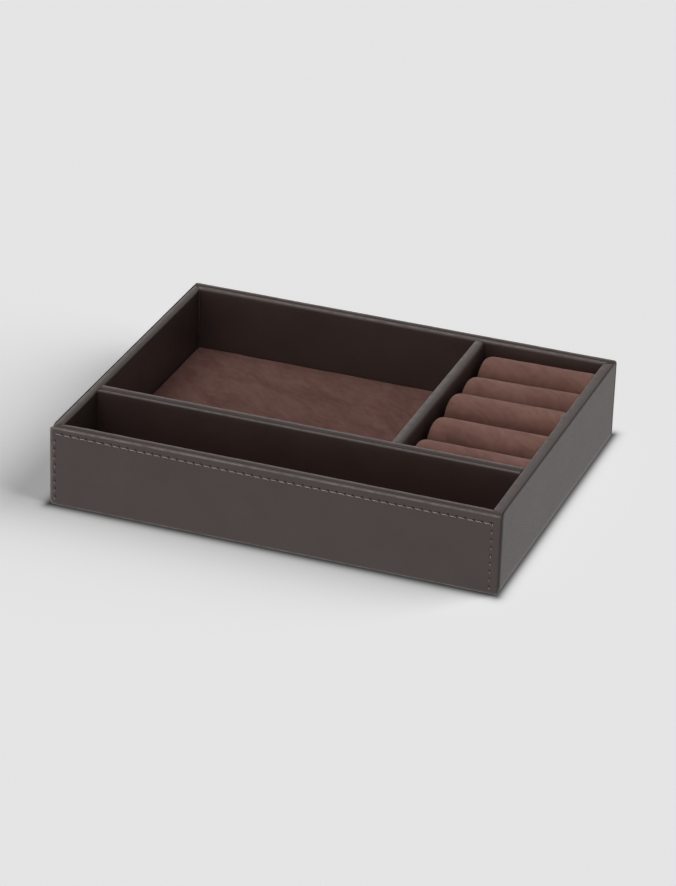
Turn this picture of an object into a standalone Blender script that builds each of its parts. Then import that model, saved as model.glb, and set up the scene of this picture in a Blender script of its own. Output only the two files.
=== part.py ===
"""Leather-covered jewelry tray with a front trough, a main compartment and a bay of ring rolls.

The tray is made the way a box maker makes one. Every wall and divider is a board wrapped in
leather, the wrapped walls meet in mitres at the rim, and flat leather panels close the outside.
The long divider is two wrapped leaves glued back to back, which leaves a groove along its top,
as between the front wall and its stitched panel. Suede-covered boards line the floor, and five
foam bars under suede hold rings.

Units are metres. X runs to the right, Y to the back and Z up, from the centre of the underside.
"""

import math

import bmesh
import bpy

# Overall size, over the leather
TRAY_WIDTH = 0.280
TRAY_DEPTH = 0.226
TRAY_HEIGHT = 0.051

# Sheet, card and board stock
LEATHER = 0.0006
SUEDE = 0.0008
GLUE_LINE = 0.0003
WALL_BOARD = 0.0025
SIDE_BOARD = 0.0045
LEFT_BOARD = 0.0030
LEAF_BOARD = 0.0018
PANEL_CARD = 0.0010
PAD_BOARD = 0.0024
RING_BED_CARD = 0.0020
BASE_BOARD = 0.0040
BASE_COVER = 0.0013

# Compartments, measured inside
TROUGH_DEPTH = 0.0492
RING_BAY_WIDTH = 0.0762

# Edges, folds and fits
RIM_ROUND = 0.0016
SIDE_RIM_ROUND = 0.0021
PANEL_ROUND = 0.0011
CORNER_ROUND = 0.0018
PAD_ROUND = 0.0012
TURN_IN = 0.0100
SIDE_SKIN_DROP = 0.0004
PANEL_FOOT = 0.0004
BASE_INSET = 0.0012
PAD_FIT = 0.0004

# Ring rolls, from the front one to the back one; crests are heights over the table at the
# left and right end, because hand-stuffed rolls rise unevenly
ROLL_CRESTS = (
    (0.0470, 0.0470),
    (0.0478, 0.0482),
    (0.0498, 0.0506),
    (0.0470, 0.0488),
    (0.0476, 0.0488),
)
ROLL_GAP = 0.0005
ROLL_END_GAP = 0.0035
ROLL_SOFT_END = 0.0050

# Fineness of the rounded forms
RIM_STEPS = 4
CROWN_STEPS = 8
FOLD_STEPS = 3
SOFT_END_STEPS = 2
WELD = 0.000001

# A wrapped board: leather, glue, board, glue, leather
WRAP = LEATHER + GLUE_LINE
FRONT_WALL = WALL_BOARD + 2 * WRAP
SIDE_WALL = SIDE_BOARD + 2 * WRAP
LEFT_WALL = LEFT_BOARD + 2 * WRAP
LEAF = LEAF_BOARD + 2 * WRAP
PANEL = PANEL_CARD + 2 * WRAP

# Heights at which pieces stand
BASE_TOP = BASE_COVER + GLUE_LINE
FLOOR = BASE_TOP + BASE_BOARD + GLUE_LINE
WALL_HEIGHT = TRAY_HEIGHT - FLOOR

# Faces in plan
HALF_WIDTH = TRAY_WIDTH / 2
HALF_DEPTH = TRAY_DEPTH / 2
WALL_X = HALF_WIDTH - WRAP
WALL_Y = HALF_DEPTH - PANEL - GLUE_LINE
INNER_RIGHT = WALL_X - SIDE_WALL
INNER_LEFT = LEFT_WALL - WALL_X
INNER_Y = WALL_Y - FRONT_WALL
LONG_DIVIDER_FRONT = -INNER_Y + TROUGH_DEPTH
LONG_DIVIDER_REAR_LEAF = LONG_DIVIDER_FRONT + LEAF + GLUE_LINE
LONG_DIVIDER_BACK = LONG_DIVIDER_REAR_LEAF + FRONT_WALL
SHORT_DIVIDER_RIGHT = INNER_RIGHT - RING_BAY_WIDTH
SHORT_DIVIDER_LEFT = SHORT_DIVIDER_RIGHT - SIDE_WALL

# Directions in which a wall's depth runs into the tray, as turns about Z
FACING_BACK = 0.0
FACING_LEFT = math.pi / 2
FACING_FRONT = math.pi
FACING_RIGHT = -math.pi / 2


def clear_scene():
    for old in list(bpy.data.objects):
        bpy.data.objects.remove(old, do_unlink=True)


def new_collection(name):
    collection = bpy.data.collections.new(name)
    bpy.context.scene.collection.children.link(collection)
    return collection


def new_material(name, color, roughness, metallic=0.0):
    material = bpy.data.materials.new(name)
    material.use_nodes = True
    shader = material.node_tree.nodes["Principled BSDF"]
    shader.inputs["Base Color"].default_value = (*color, 1.0)
    shader.inputs["Roughness"].default_value = roughness
    shader.inputs["Metallic"].default_value = metallic
    material.diffuse_color = (*color, 1.0)
    return material


class Workshop:
    """The collections, the parent and the materials that all pieces share."""

    def __init__(self):
        self.pieces = new_collection("jewelry_tray")
        self.cutters = new_collection("cutters")
        self.tray = bpy.data.objects.new("tray", None)
        self.pieces.objects.link(self.tray)
        self.leather = new_material("taupe_leather", (0.062, 0.050, 0.046), 0.50)
        self.suede = new_material("dusty_brown_suede", (0.150, 0.078, 0.063), 0.92)
        self.board = new_material("grey_board", (0.300, 0.275, 0.235), 0.85)
        self.dark_card = new_material("dark_card", (0.035, 0.026, 0.024), 0.85)
        self.foam = new_material("cream_foam", (0.620, 0.580, 0.470), 0.95)
        self.base = new_material("black_base_cloth", (0.030, 0.026, 0.025), 0.80)

    def add(self, name, mesh, material, location=(0, 0, 0), turn=0.0):
        """One piece of the tray, standing at location and turned about Z."""
        piece = bpy.data.objects.new(name, mesh)
        piece.location = location
        piece.rotation_euler = (0, 0, turn)
        piece.parent = self.tray
        mesh.materials.clear()
        mesh.materials.append(material)
        self.pieces.objects.link(piece)
        return piece

    def add_cutter(self, name, mesh, location=(0, 0, 0)):
        cutter = bpy.data.objects.new(name, mesh)
        cutter.location = location
        cutter.parent = self.tray
        cutter.hide_render = True
        cutter.display_type = "WIRE"
        self.cutters.objects.link(cutter)
        return cutter


def arch(width, height, radius, left=0.0, steps=RIM_STEPS):
    """Points up one side, over two rounded shoulders and down the other side."""
    points = [(left, 0.0)]
    for centre_x, start in ((left + radius, math.pi), (left + width - radius, math.pi / 2)):
        for step in range(steps + 1):
            angle = start - step * math.pi / 2 / steps
            point = (
                centre_x + radius * math.cos(angle),
                height - radius + radius * math.sin(angle),
            )
            if math.dist(point, points[-1]) > WELD:
                points.append(point)
    points.append((left + width, 0.0))
    return points


def section_mesh(name, outline, length, soft_end=0.0):
    """A closed outline run along X. Its points are (depth, height), and depth runs along Y.

    With soft_end the two ends are rounded over by that radius, inside the outline and length.
    """
    curve = bpy.data.curves.new(name, "CURVE")
    curve.dimensions = "2D"
    curve.fill_mode = "BOTH"
    curve.extrude = length / 2 - soft_end
    curve.bevel_depth = soft_end
    curve.bevel_resolution = SOFT_END_STEPS
    curve.offset = -soft_end
    spline = curve.splines.new("POLY")
    spline.points.add(len(outline) - 1)
    for point, (depth, height) in zip(spline.points, outline):
        point.co = (depth, height, 0.0, 1.0)
    spline.use_cyclic_u = True
    drawing = bpy.data.objects.new(name + "_outline", curve)
    drawing.rotation_euler = (math.pi / 2, 0, math.pi / 2)
    bpy.context.scene.collection.objects.link(drawing)
    bpy.context.view_layer.update()
    evaluated = drawing.evaluated_get(bpy.context.evaluated_depsgraph_get())
    mesh = bpy.data.meshes.new_from_object(evaluated)
    mesh.transform(drawing.matrix_world)
    bpy.data.objects.remove(drawing, do_unlink=True)
    body = bmesh.new()
    body.from_mesh(mesh)
    bmesh.ops.remove_doubles(body, verts=body.verts, dist=WELD)
    bmesh.ops.recalc_face_normals(body, faces=body.faces)
    body.to_mesh(mesh)
    body.free()
    mesh.name = name
    return mesh


def cut_mitres(mesh, own, left_other, right_other):
    """Draws each end back by its depth, so that it meets a wall of thickness `other` in a mitre.

    Half of the glue line between the two mitred faces comes off this one.
    """
    for vertex in mesh.vertices:
        end = math.copysign(1.0, vertex.co.x)
        other = right_other if end > 0 else left_other
        half_glue = GLUE_LINE / 2 * math.hypot(own, other) / own
        vertex.co.x -= end * (vertex.co.y * other / own + half_glue)


def wrapped_board(shop, name, length, thickness, location, turn, neighbours=None):
    """A board standing on the base, with leather over its rim and down both faces.

    neighbours holds the thicknesses of the walls that its left and right end are mitred to.
    """
    rim = SIDE_RIM_ROUND if thickness > FRONT_WALL else RIM_ROUND
    rim = min(rim, thickness / 2 - GLUE_LINE)
    outer = arch(thickness, WALL_HEIGHT, rim)
    inner = arch(thickness - 2 * LEATHER, WALL_HEIGHT - LEATHER, rim - LEATHER, LEATHER)
    core = arch(thickness - 2 * WRAP, WALL_HEIGHT - WRAP, rim - WRAP, WRAP)
    leather = section_mesh(name + "_leather", outer + inner[::-1], length)
    board = section_mesh(name + "_board", core, length)
    if neighbours:
        cut_mitres(leather, thickness, *neighbours)
        cut_mitres(board, thickness, *neighbours)
    shop.add(name + "_leather", leather, shop.leather, location, turn)
    shop.add(name + "_board", board, shop.board, location, turn)


def add_walls(shop):
    front_length = 2 * WALL_X
    side_length = 2 * WALL_Y
    sides = (LEFT_WALL, SIDE_WALL)
    ends = (FRONT_WALL, FRONT_WALL)
    walls = (
        ("front_wall", front_length, FRONT_WALL, sides, (0, -WALL_Y), FACING_BACK),
        ("right_wall", side_length, SIDE_WALL, ends, (WALL_X, 0), FACING_LEFT),
        ("back_wall", front_length, FRONT_WALL, sides[::-1], (0, WALL_Y), FACING_FRONT),
        ("left_wall", side_length, LEFT_WALL, ends, (-WALL_X, 0), FACING_RIGHT),
    )
    for name, length, thickness, neighbours, (x, y), turn in walls:
        wrapped_board(shop, name, length, thickness, (x, y, FLOOR), turn, neighbours)


def add_dividers(shop):
    """The long divider's two leaves span the side walls; the short one stands behind them."""
    span = INNER_RIGHT - INNER_LEFT - 2 * GLUE_LINE
    centre = (INNER_RIGHT + INNER_LEFT) / 2
    leaves = (
        ("long_divider_front", LEAF, LONG_DIVIDER_FRONT),
        ("long_divider_rear", FRONT_WALL, LONG_DIVIDER_REAR_LEAF),
    )
    for name, thickness, y in leaves:
        wrapped_board(shop, name, span, thickness, (centre, y, FLOOR), FACING_BACK)
    short_span = INNER_Y - LONG_DIVIDER_BACK - 2 * GLUE_LINE
    middle = (INNER_Y + LONG_DIVIDER_BACK) / 2
    wrapped_board(
        shop, "short_divider", short_span, SIDE_WALL,
        (SHORT_DIVIDER_RIGHT, middle, FLOOR), FACING_LEFT,
    )


def box_mesh(name, size, edge_round=0.0, window=None, corner_round=None):
    """A box of size (x, y, z), centred in plan, standing on z = 0, with rounded edges.

    window names the side, "back" or "bottom", where a cover is turned in round an opening.
    corner_round gives the upright edges of the front face their own radius, and the upright
    edges behind them have what room that leaves in the box's depth.
    """
    width, depth, height = size
    body = bmesh.new()
    weights = body.edges.layers.float.new("bevel_weight_edge")
    bmesh.ops.create_cube(body, size=1.0)
    bmesh.ops.scale(body, verts=body.verts, vec=size)
    bmesh.ops.translate(body, verts=body.verts, vec=(0, 0, height / 2))
    body.normal_update()
    folds = list(body.edges)
    corner_round = corner_round or edge_round
    rear_round = min(edge_round, depth - corner_round - GLUE_LINE)
    widest = max(edge_round, corner_round)
    if window:
        axis, side = {"back": (1, 1.0), "bottom": (2, -1.0)}[window]
        face = next(f for f in body.faces if f.normal[axis] * side > 0.5)
        bmesh.ops.inset_region(body, faces=[face], thickness=TURN_IN, use_even_offset=True)
        bmesh.ops.delete(body, geom=[face], context="FACES")
    for edge in body.edges:
        edge[weights] = 0.0
    for edge in folds:
        low, high = edge.verts
        own_round = edge_round
        if abs(low.co.z - high.co.z) > WELD:
            own_round = corner_round if low.co.y < 0 else rear_round
        edge[weights] = own_round / widest if widest else 0.0
    mesh = bpy.data.meshes.new(name)
    body.to_mesh(mesh)
    body.free()
    return mesh, widest


def round_edges(piece, width):
    bevel = piece.modifiers.new("rounded_edges", "BEVEL")
    bevel.limit_method = "WEIGHT"
    bevel.width = width
    bevel.segments = FOLD_STEPS
    bevel.use_clamp_overlap = False


def add_solid_box(shop, name, size, material, location, edge_round, turn=0.0):
    mesh, widest = box_mesh(name, size, edge_round)
    piece = shop.add(name, mesh, material, location, turn)
    if widest:
        round_edges(piece, widest)


def add_cover(shop, name, size, material, location, fold, sheet, window, turn=0.0, corner=None):
    """Leather or suede folded over a board and turned in round a window on its hidden side."""
    mesh, widest = box_mesh(name, size, fold, window, corner)
    piece = shop.add(name, mesh, material, location, turn)
    round_edges(piece, widest)
    thickness = piece.modifiers.new("sheet", "SOLIDIFY")
    thickness.thickness = sheet
    thickness.offset = -1.0
    thickness.use_even_offset = True


def add_panel(shop, name, y, turn):
    """A card under leather that closes the front or the back, from just over the table up."""
    height = TRAY_HEIGHT - PANEL_FOOT
    add_cover(
        shop, name + "_leather", (TRAY_WIDTH, PANEL, height), shop.leather,
        (0, y, PANEL_FOOT), PANEL_ROUND, LEATHER, "back", turn, CORNER_ROUND,
    )
    card_end = CORNER_ROUND + GLUE_LINE
    add_solid_box(
        shop, name + "_card", (TRAY_WIDTH - 2 * card_end, PANEL_CARD, height - 2 * WRAP),
        shop.board, (0, y, PANEL_FOOT + WRAP), 0.0, turn,
    )


def add_panels(shop):
    add_panel(shop, "front_panel", -HALF_DEPTH + PANEL / 2, FACING_BACK)
    add_panel(shop, "back_panel", HALF_DEPTH - PANEL / 2, FACING_FRONT)
    side_length = TRAY_DEPTH - 2 * (PANEL + GLUE_LINE)
    side_height = TRAY_HEIGHT - SIDE_SKIN_DROP - PANEL_FOOT
    for name, side in (("left_side_leather", -1), ("right_side_leather", 1)):
        add_solid_box(
            shop, name, (LEATHER, side_length, side_height), shop.leather,
            (side * (HALF_WIDTH - LEATHER / 2), 0, PANEL_FOOT), LEATHER / 3,
        )


def add_base(shop):
    """The base board lies inside the panels and side leathers, and the cover under the board."""
    board_size = (2 * WALL_X, 2 * WALL_Y, BASE_BOARD)
    add_solid_box(shop, "base_board", board_size, shop.board, (0, 0, BASE_TOP), 0.0)
    cover_size = (board_size[0] - 2 * BASE_INSET, board_size[1] - 2 * BASE_INSET, BASE_COVER)
    add_solid_box(shop, "base_cover", cover_size, shop.base, (0, 0, 0), BASE_COVER / 4)


def add_pad(shop, name, left, right, front, back):
    """A floor board under suede that drops into the compartment between four faces."""
    size = (right - left - 2 * PAD_FIT, back - front - 2 * PAD_FIT, PAD_BOARD + 2 * pad_wrap())
    x = (left + right) / 2
    y = (front + back) / 2
    add_cover(shop, name + "_suede", size, shop.suede, (x, y, FLOOR), PAD_ROUND, SUEDE, "bottom")
    board_size = (size[0] - 2 * pad_wrap(), size[1] - 2 * pad_wrap(), PAD_BOARD)
    add_solid_box(shop, name + "_board", board_size, shop.board, (x, y, FLOOR + pad_wrap()), 0.0)


def pad_wrap():
    return SUEDE + GLUE_LINE


def add_pads(shop):
    add_pad(shop, "trough_pad", INNER_LEFT, INNER_RIGHT, -INNER_Y, LONG_DIVIDER_FRONT)
    add_pad(shop, "main_pad", INNER_LEFT, SHORT_DIVIDER_LEFT, LONG_DIVIDER_BACK, INNER_Y)


def cut_flat(body, place, direction):
    """Cuts off and closes what lies past a plane through place, in that direction."""
    cut = bmesh.ops.bisect_plane(
        body, geom=body.verts[:] + body.edges[:] + body.faces[:],
        plane_co=place, plane_no=direction, clear_outer=True,
    )
    rim = [item for item in cut["geom_cut"] if isinstance(item, bmesh.types.BMEdge)]
    bmesh.ops.holes_fill(body, edges=rim, sides=0)


def roll_form(name, crests, width, length, inset, open_foot=False):
    """A ring roll's body, drawn in by inset on all sides but its foot, which lies on z = 0.

    Upright sides carry a half-round crown, and the height runs from the left crest to the
    right one. The left end is soft and the right end cut square, to butt against the wall.
    With open_foot the body reaches on below its foot.
    """
    tall = max(crests)
    below = ROLL_SOFT_END + SUEDE
    cut_off = ROLL_SOFT_END
    section_width = width - 2 * inset
    outline = arch(
        section_width, tall - inset + below, section_width / 2, -section_width / 2, CROWN_STEPS
    )
    mesh = section_mesh(name, outline, length - 2 * inset + cut_off, ROLL_SOFT_END - inset)
    body = bmesh.new()
    body.from_mesh(mesh)
    bmesh.ops.translate(body, verts=body.verts, vec=(cut_off / 2, 0, -below))
    foot = -SUEDE if open_foot else 0.0
    cut_flat(body, (0, 0, foot), (0, 0, -1))
    cut_flat(body, (length / 2 - inset, 0, 0), (1, 0, 0))
    bmesh.ops.recalc_face_normals(body, faces=body.faces)
    left, right = crests
    for vertex in body.verts:
        share = vertex.co.x / length + 0.5
        if vertex.co.z > 0:
            vertex.co.z *= (left + (right - left) * share) / tall
    body.to_mesh(mesh)
    body.free()
    mesh.shade_smooth()
    return mesh


def add_ring_roll(shop, number, y, width, crests):
    """A foam bar under a suede cover that is open at its foot, where it is glued to the bed."""
    length = RING_BAY_WIDTH - ROLL_END_GAP - GLUE_LINE
    x = INNER_RIGHT - GLUE_LINE - length / 2
    bed_top = FLOOR + RING_BED_CARD + GLUE_LINE
    heights = tuple(crest - bed_top for crest in crests)
    place = (x, y, bed_top)
    cavity = shop.add_cutter(
        f"ring_roll_cavity_{number}",
        roll_form("cavity", heights, width, length, SUEDE, open_foot=True),
        place,
    )
    cover = shop.add(
        f"ring_roll_suede_{number}", roll_form("cover", heights, width, length, 0.0),
        shop.suede, place,
    )
    hollow = cover.modifiers.new("hollow", "BOOLEAN")
    hollow.operation = "DIFFERENCE"
    hollow.object = cavity
    core = roll_form("core", heights, width, length, SUEDE + GLUE_LINE)
    shop.add(f"ring_roll_core_{number}", core, shop.foam, place)


def add_ring_bay(shop):
    """The bed card and its rolls, side by side from the long divider to the back wall."""
    bay_front = LONG_DIVIDER_BACK + GLUE_LINE
    bay_depth = INNER_Y - GLUE_LINE - bay_front
    count = len(ROLL_CRESTS)
    width = (bay_depth - (count - 1) * ROLL_GAP) / count
    card_size = (RING_BAY_WIDTH - 2 * PAD_FIT, bay_depth, RING_BED_CARD)
    card_place = (INNER_RIGHT - RING_BAY_WIDTH / 2, bay_front + bay_depth / 2, FLOOR)
    add_solid_box(shop, "ring_bed_card", card_size, shop.dark_card, card_place, 0.0)
    for index, crests in enumerate(ROLL_CRESTS):
        y = bay_front + width / 2 + index * (width + ROLL_GAP)
        add_ring_roll(shop, index + 1, y, width, crests)


def build_tray():
    clear_scene()
    shop = Workshop()
    add_base(shop)
    add_walls(shop)
    add_panels(shop)
    add_dividers(shop)
    add_pads(shop)
    add_ring_bay(shop)
    bpy.context.view_layer.update()


build_tray()
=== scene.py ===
"""Leather, suede and stitching of a jewelry tray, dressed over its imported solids.

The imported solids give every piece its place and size. Here each leather, each suede and the base
cloth becomes a finer sheet over its board: rounded rims with mitred corners, a stitched front
panel with needle holes and a real thread, and ring rolls that cloth simulation fills out. The
boards, cards and foam bars inside stay as packed and get their own finishes.

Sizes are metres unless a name says otherwise. X runs right, Y to the back and Z up.
"""

import logging
import math
import random
from collections.abc import Callable, Iterable
from dataclasses import dataclass, field
from enum import Enum

import bpy
from mathutils import Matrix, Vector, noise


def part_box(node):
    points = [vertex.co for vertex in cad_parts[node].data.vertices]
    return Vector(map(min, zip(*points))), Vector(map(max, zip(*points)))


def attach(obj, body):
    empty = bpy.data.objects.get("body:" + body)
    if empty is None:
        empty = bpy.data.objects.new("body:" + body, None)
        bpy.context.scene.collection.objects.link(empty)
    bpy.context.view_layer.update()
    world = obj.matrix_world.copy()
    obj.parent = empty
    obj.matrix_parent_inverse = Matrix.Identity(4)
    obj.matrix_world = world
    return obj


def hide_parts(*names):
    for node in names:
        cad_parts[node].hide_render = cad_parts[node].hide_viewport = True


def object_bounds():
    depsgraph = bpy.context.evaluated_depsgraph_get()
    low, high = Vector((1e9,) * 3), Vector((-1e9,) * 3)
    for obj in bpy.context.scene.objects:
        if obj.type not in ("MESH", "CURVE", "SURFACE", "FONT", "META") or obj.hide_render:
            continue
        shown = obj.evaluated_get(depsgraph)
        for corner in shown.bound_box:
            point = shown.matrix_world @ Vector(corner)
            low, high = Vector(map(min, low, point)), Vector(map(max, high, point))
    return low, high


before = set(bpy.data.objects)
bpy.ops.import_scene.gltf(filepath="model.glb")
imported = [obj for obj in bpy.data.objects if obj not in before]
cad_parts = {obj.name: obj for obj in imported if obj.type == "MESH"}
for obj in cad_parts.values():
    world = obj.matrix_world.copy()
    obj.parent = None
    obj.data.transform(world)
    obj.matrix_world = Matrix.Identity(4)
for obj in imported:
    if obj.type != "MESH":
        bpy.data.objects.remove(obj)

CAD_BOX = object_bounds()
MM = 0.001
TINY = 1e-9
# The part of a noise texture's values that a mask spreads over 0 to 1
NOISE_RANGE = (0.3, 0.7)
NARROW_NOISE_RANGE = (0.35, 0.65)

Colour = tuple[float, float, float]
Grid = list[list[Vector]]
Line = tuple[float, float]
Spacing = Callable[[float, float], list[float]]
Relief = Callable[[float, float], tuple[float, float]]

log = logging.getLogger("jewelry_tray")


class Facing(Enum):
    """Which way a board's outer face looks: its along, across and outward directions."""

    FRONT = ((1, 0, 0), (0, 0, 1), (0, -1, 0))
    RIGHT = ((0, 1, 0), (0, 0, 1), (1, 0, 0))
    BACK = ((-1, 0, 0), (0, 0, 1), (0, 1, 0))
    LEFT = ((0, -1, 0), (0, 0, 1), (-1, 0, 0))
    UP = ((1, 0, 0), (0, 1, 0), (0, 0, 1))
    DOWN = ((1, 0, 0), (0, -1, 0), (0, 0, -1))


class Slot(Enum):
    """The record's material slots."""

    LEATHER = "leather"
    SUEDE = "suede"
    BOARD = "board"
    DARK_CARD = "dark_card"
    FOAM = "foam"
    BASE_CLOTH = "base_cloth"


class Mask(Enum):
    """What a mesh tells its material, point by point, from 0 to 1."""

    # EDGE: polish from wear with a painted highlight, along rims and folds.
    EDGE = "edge"
    # HOLE: painted shade in needle pits and where a cover's end meets the next cover.
    HOLE = "hole"
    # FRONT: painted light on the ring rolls, from a painted highlight at 0 to painted shade at 1.
    FRONT = "front"


# Small helpers for numbers

def clamp(value: float, low: float, high: float) -> float:
    """Returns value, held between low and high."""
    return max(low, min(high, value))


def smooth_step(value: float, low: float, high: float) -> float:
    """Returns 0 below low, 1 above high, and a smooth rise between them."""
    share = clamp((value - low) / (high - low), 0.0, 1.0)
    return share * share * (3 - 2 * share)


def bell(distance: float, width: float) -> float:
    """Returns 1 at no distance, falling off like a bell of that width."""
    return math.exp(-((distance / width) ** 2))


def spaced(start: float, stop: float, step: float) -> list[float]:
    """Evenly spaced values.

    Args:
        start: the first value.
        stop: the last value.
        step: about how far apart they are.

    Returns:
        The values, with start and stop among them.
    """
    count = max(1, round(abs(stop - start) / step))
    return [start + (stop - start) * index / count for index in range(count + 1)]


def joined_runs(*runs: list[float]) -> list[float]:
    """Joins rising runs of values.

    Args:
        runs: the runs, one after the other.

    Returns:
        One list, without the values that two runs share.
    """
    values: list[float] = []
    for run in runs:
        values += [value for value in run if not values or value > values[-1] + TINY]
    return values


# Directions and new objects

def direction(azimuth: float, elevation: float) -> Vector:
    """Works out a direction.

    Args:
        azimuth: degrees round from +X towards +Y.
        elevation: degrees up from level.

    Returns:
        The direction, one unit long.
    """
    turn, rise = math.radians(azimuth), math.radians(elevation)
    return Vector((
        math.cos(rise) * math.cos(turn), math.cos(rise) * math.sin(turn), math.sin(rise)
    ))


def add_object(name: str, data: bpy.types.ID) -> bpy.types.Object:
    """Returns a new object of the scene, with that mesh, light or camera."""
    piece = bpy.data.objects.new(name, data)
    bpy.context.scene.collection.objects.link(piece)
    return piece


def add_mesh(name: str, corners: Iterable[Iterable[float]],
             faces: list[tuple[int, ...]]) -> bpy.types.Object:
    """Adds a mesh object with smooth shading to the scene.

    Args:
        name: the object's and the mesh's name.
        corners: the places of its points.
        faces: the points of each face, by number.

    Returns:
        The object.
    """
    mesh = bpy.data.meshes.new(name)
    mesh.from_pydata([tuple(corner) for corner in corners], [], faces)
    mesh.shade_smooth()
    return add_object(name, mesh)


def write_mask(piece: bpy.types.Object, mask: Mask, values: list[float]) -> None:
    """Writes what a mesh tells its material, one value for each point."""
    layer = piece.data.attributes.new(mask.value, "FLOAT", "POINT")
    layer.data.foreach_set("value", values)


# Node wiring and the effects that several materials share

class Wiring:
    """Short ways to add and join the nodes of one tree."""

    def __init__(self, tree: bpy.types.NodeTree) -> None:
        """Works on a tree that exists."""
        self.tree = tree

    def feed(self, socket: bpy.types.NodeSocket, value: object) -> None:
        """Gives a socket what it should hold.

        Args:
            socket: the socket.
            value: another socket, which is linked to it, or a plain value, which is written.
        """
        if isinstance(value, bpy.types.NodeSocket):
            self.tree.links.new(value, socket)
        else:
            socket.default_value = value

    def add(self, kind: str, inputs: dict | None = None, **settings: object) -> bpy.types.Node:
        """Adds a node.

        Args:
            kind: the node's type name.
            inputs: what each input, by name or number, gets.
            settings: the node's own properties.

        Returns:
            The node.
        """
        node = self.tree.nodes.new(kind)
        for name, value in settings.items():
            setattr(node, name, value)
        for name, value in (inputs or {}).items():
            self.feed(node.inputs[name], value)
        return node

    def math(self, operation: str, *values: object) -> bpy.types.NodeSocket:
        """Returns the result of a Math node on one, two or three values."""
        inputs = dict(enumerate(values))
        return self.add("ShaderNodeMath", inputs, operation=operation).outputs[0]

    def blend(self, share: object, first: object, second: object) -> bpy.types.NodeSocket:
        """Blends two colours, each a plain one or a socket.

        Args:
            share: how much of the second shows.
            first: the first colour.
            second: the second colour.

        Returns:
            The blended colour.
        """
        inputs = {0: share}
        for index, colour in ((6, first), (7, second)):
            inputs[index] = (*colour, 1.0) if isinstance(colour, tuple) else colour
        return self.add("ShaderNodeMix", inputs, data_type="RGBA").outputs[2]

    def grey(self, level: object) -> bpy.types.NodeSocket:
        """Returns the grey of that level."""
        return self.add("ShaderNodeCombineColor", {0: level, 1: level, 2: level}).outputs[0]

    def bump(self, height: object, depth: float) -> bpy.types.NodeSocket:
        """Returns the normal that a height of that depth in metres gives."""
        inputs = {"Height": height, "Distance": depth, "Strength": 1.0}
        return self.add("ShaderNodeBump", inputs).outputs[0]

    def remap(self, value: object, low: float, high: float, start: object = 0.0,
              stop: object = 1.0) -> bpy.types.NodeSocket:
        """Takes a value from one range into another.

        Args:
            value: the value.
            low: where its own range begins.
            high: where that ends.
            start: where the new range begins.
            stop: where that ends.

        Returns:
            The value in the new range.
        """
        inputs = {
            "Value": value, "From Min": low, "From Max": high, "To Min": start, "To Max": stop,
        }
        return self.add("ShaderNodeMapRange", inputs).outputs[0]

    def stretch(self, vector: object, factors: object) -> bpy.types.NodeSocket:
        """Returns the vector or colour with each part multiplied by its own factor."""
        node = self.add("ShaderNodeVectorMath", {0: vector, 1: factors}, operation="MULTIPLY")
        return node.outputs[0]

    def cells(self, size: object) -> bpy.types.NodeSocket:
        """Returns the texture scale that makes features of that size in metres."""
        return self.math("DIVIDE", 1.0, size)

    def noise(self, vector: object, scale: object, detail: float = 2.0,
              distortion: float = 0.0) -> bpy.types.NodeSocket:
        """Returns a noise texture's value."""
        inputs = {"Vector": vector, "Scale": scale, "Detail": detail, "Distortion": distortion}
        return self.add("ShaderNodeTexNoise", inputs).outputs[0]

    def attribute(self, mask: Mask) -> bpy.types.NodeSocket:
        """Returns a mask that the mesh carries."""
        return self.add("ShaderNodeAttribute", attribute_name=mask.value).outputs["Fac"]

    def place(self) -> bpy.types.NodeSocket:
        """Returns the place on the object, in metres."""
        return self.add("ShaderNodeTexCoord").outputs["Object"]


class EffectGroup:
    """A shader node group that is built once and placed in each material that uses it."""

    def __init__(self, name: str, inputs: dict[str, object], outputs: list[str]) -> None:
        """Makes the group's sockets.

        Args:
            name: the group's name.
            inputs: each input's name and default value; None stands for a vector.
            outputs: the names of the outputs, which are all values.
        """
        self.tree = bpy.data.node_groups.new(name, "ShaderNodeTree")
        for label, value in inputs.items():
            kind = "NodeSocketVector" if value is None else "NodeSocketFloat"
            socket = self.tree.interface.new_socket(label, in_out="INPUT", socket_type=kind)
            if value is not None:
                socket.default_value = value
        for label in outputs:
            self.tree.interface.new_socket(label, in_out="OUTPUT", socket_type="NodeSocketFloat")
        self.wiring = Wiring(self.tree)
        self.given = self.wiring.add("NodeGroupInput").outputs
        self.results = self.wiring.add("NodeGroupOutput").inputs

    def put_in(self, wiring: Wiring, **values: object) -> bpy.types.NodeOutputs:
        """Places the group in a material.

        Args:
            wiring: the material's nodes.
            values: what each input gets, with _ for the spaces in its name.

        Returns:
            The placed group's outputs.
        """
        node = wiring.add("ShaderNodeGroup", node_tree=self.tree)
        for label, value in values.items():
            wiring.feed(node.inputs[label.replace("_", " ")], value)
        return node.outputs


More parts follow.
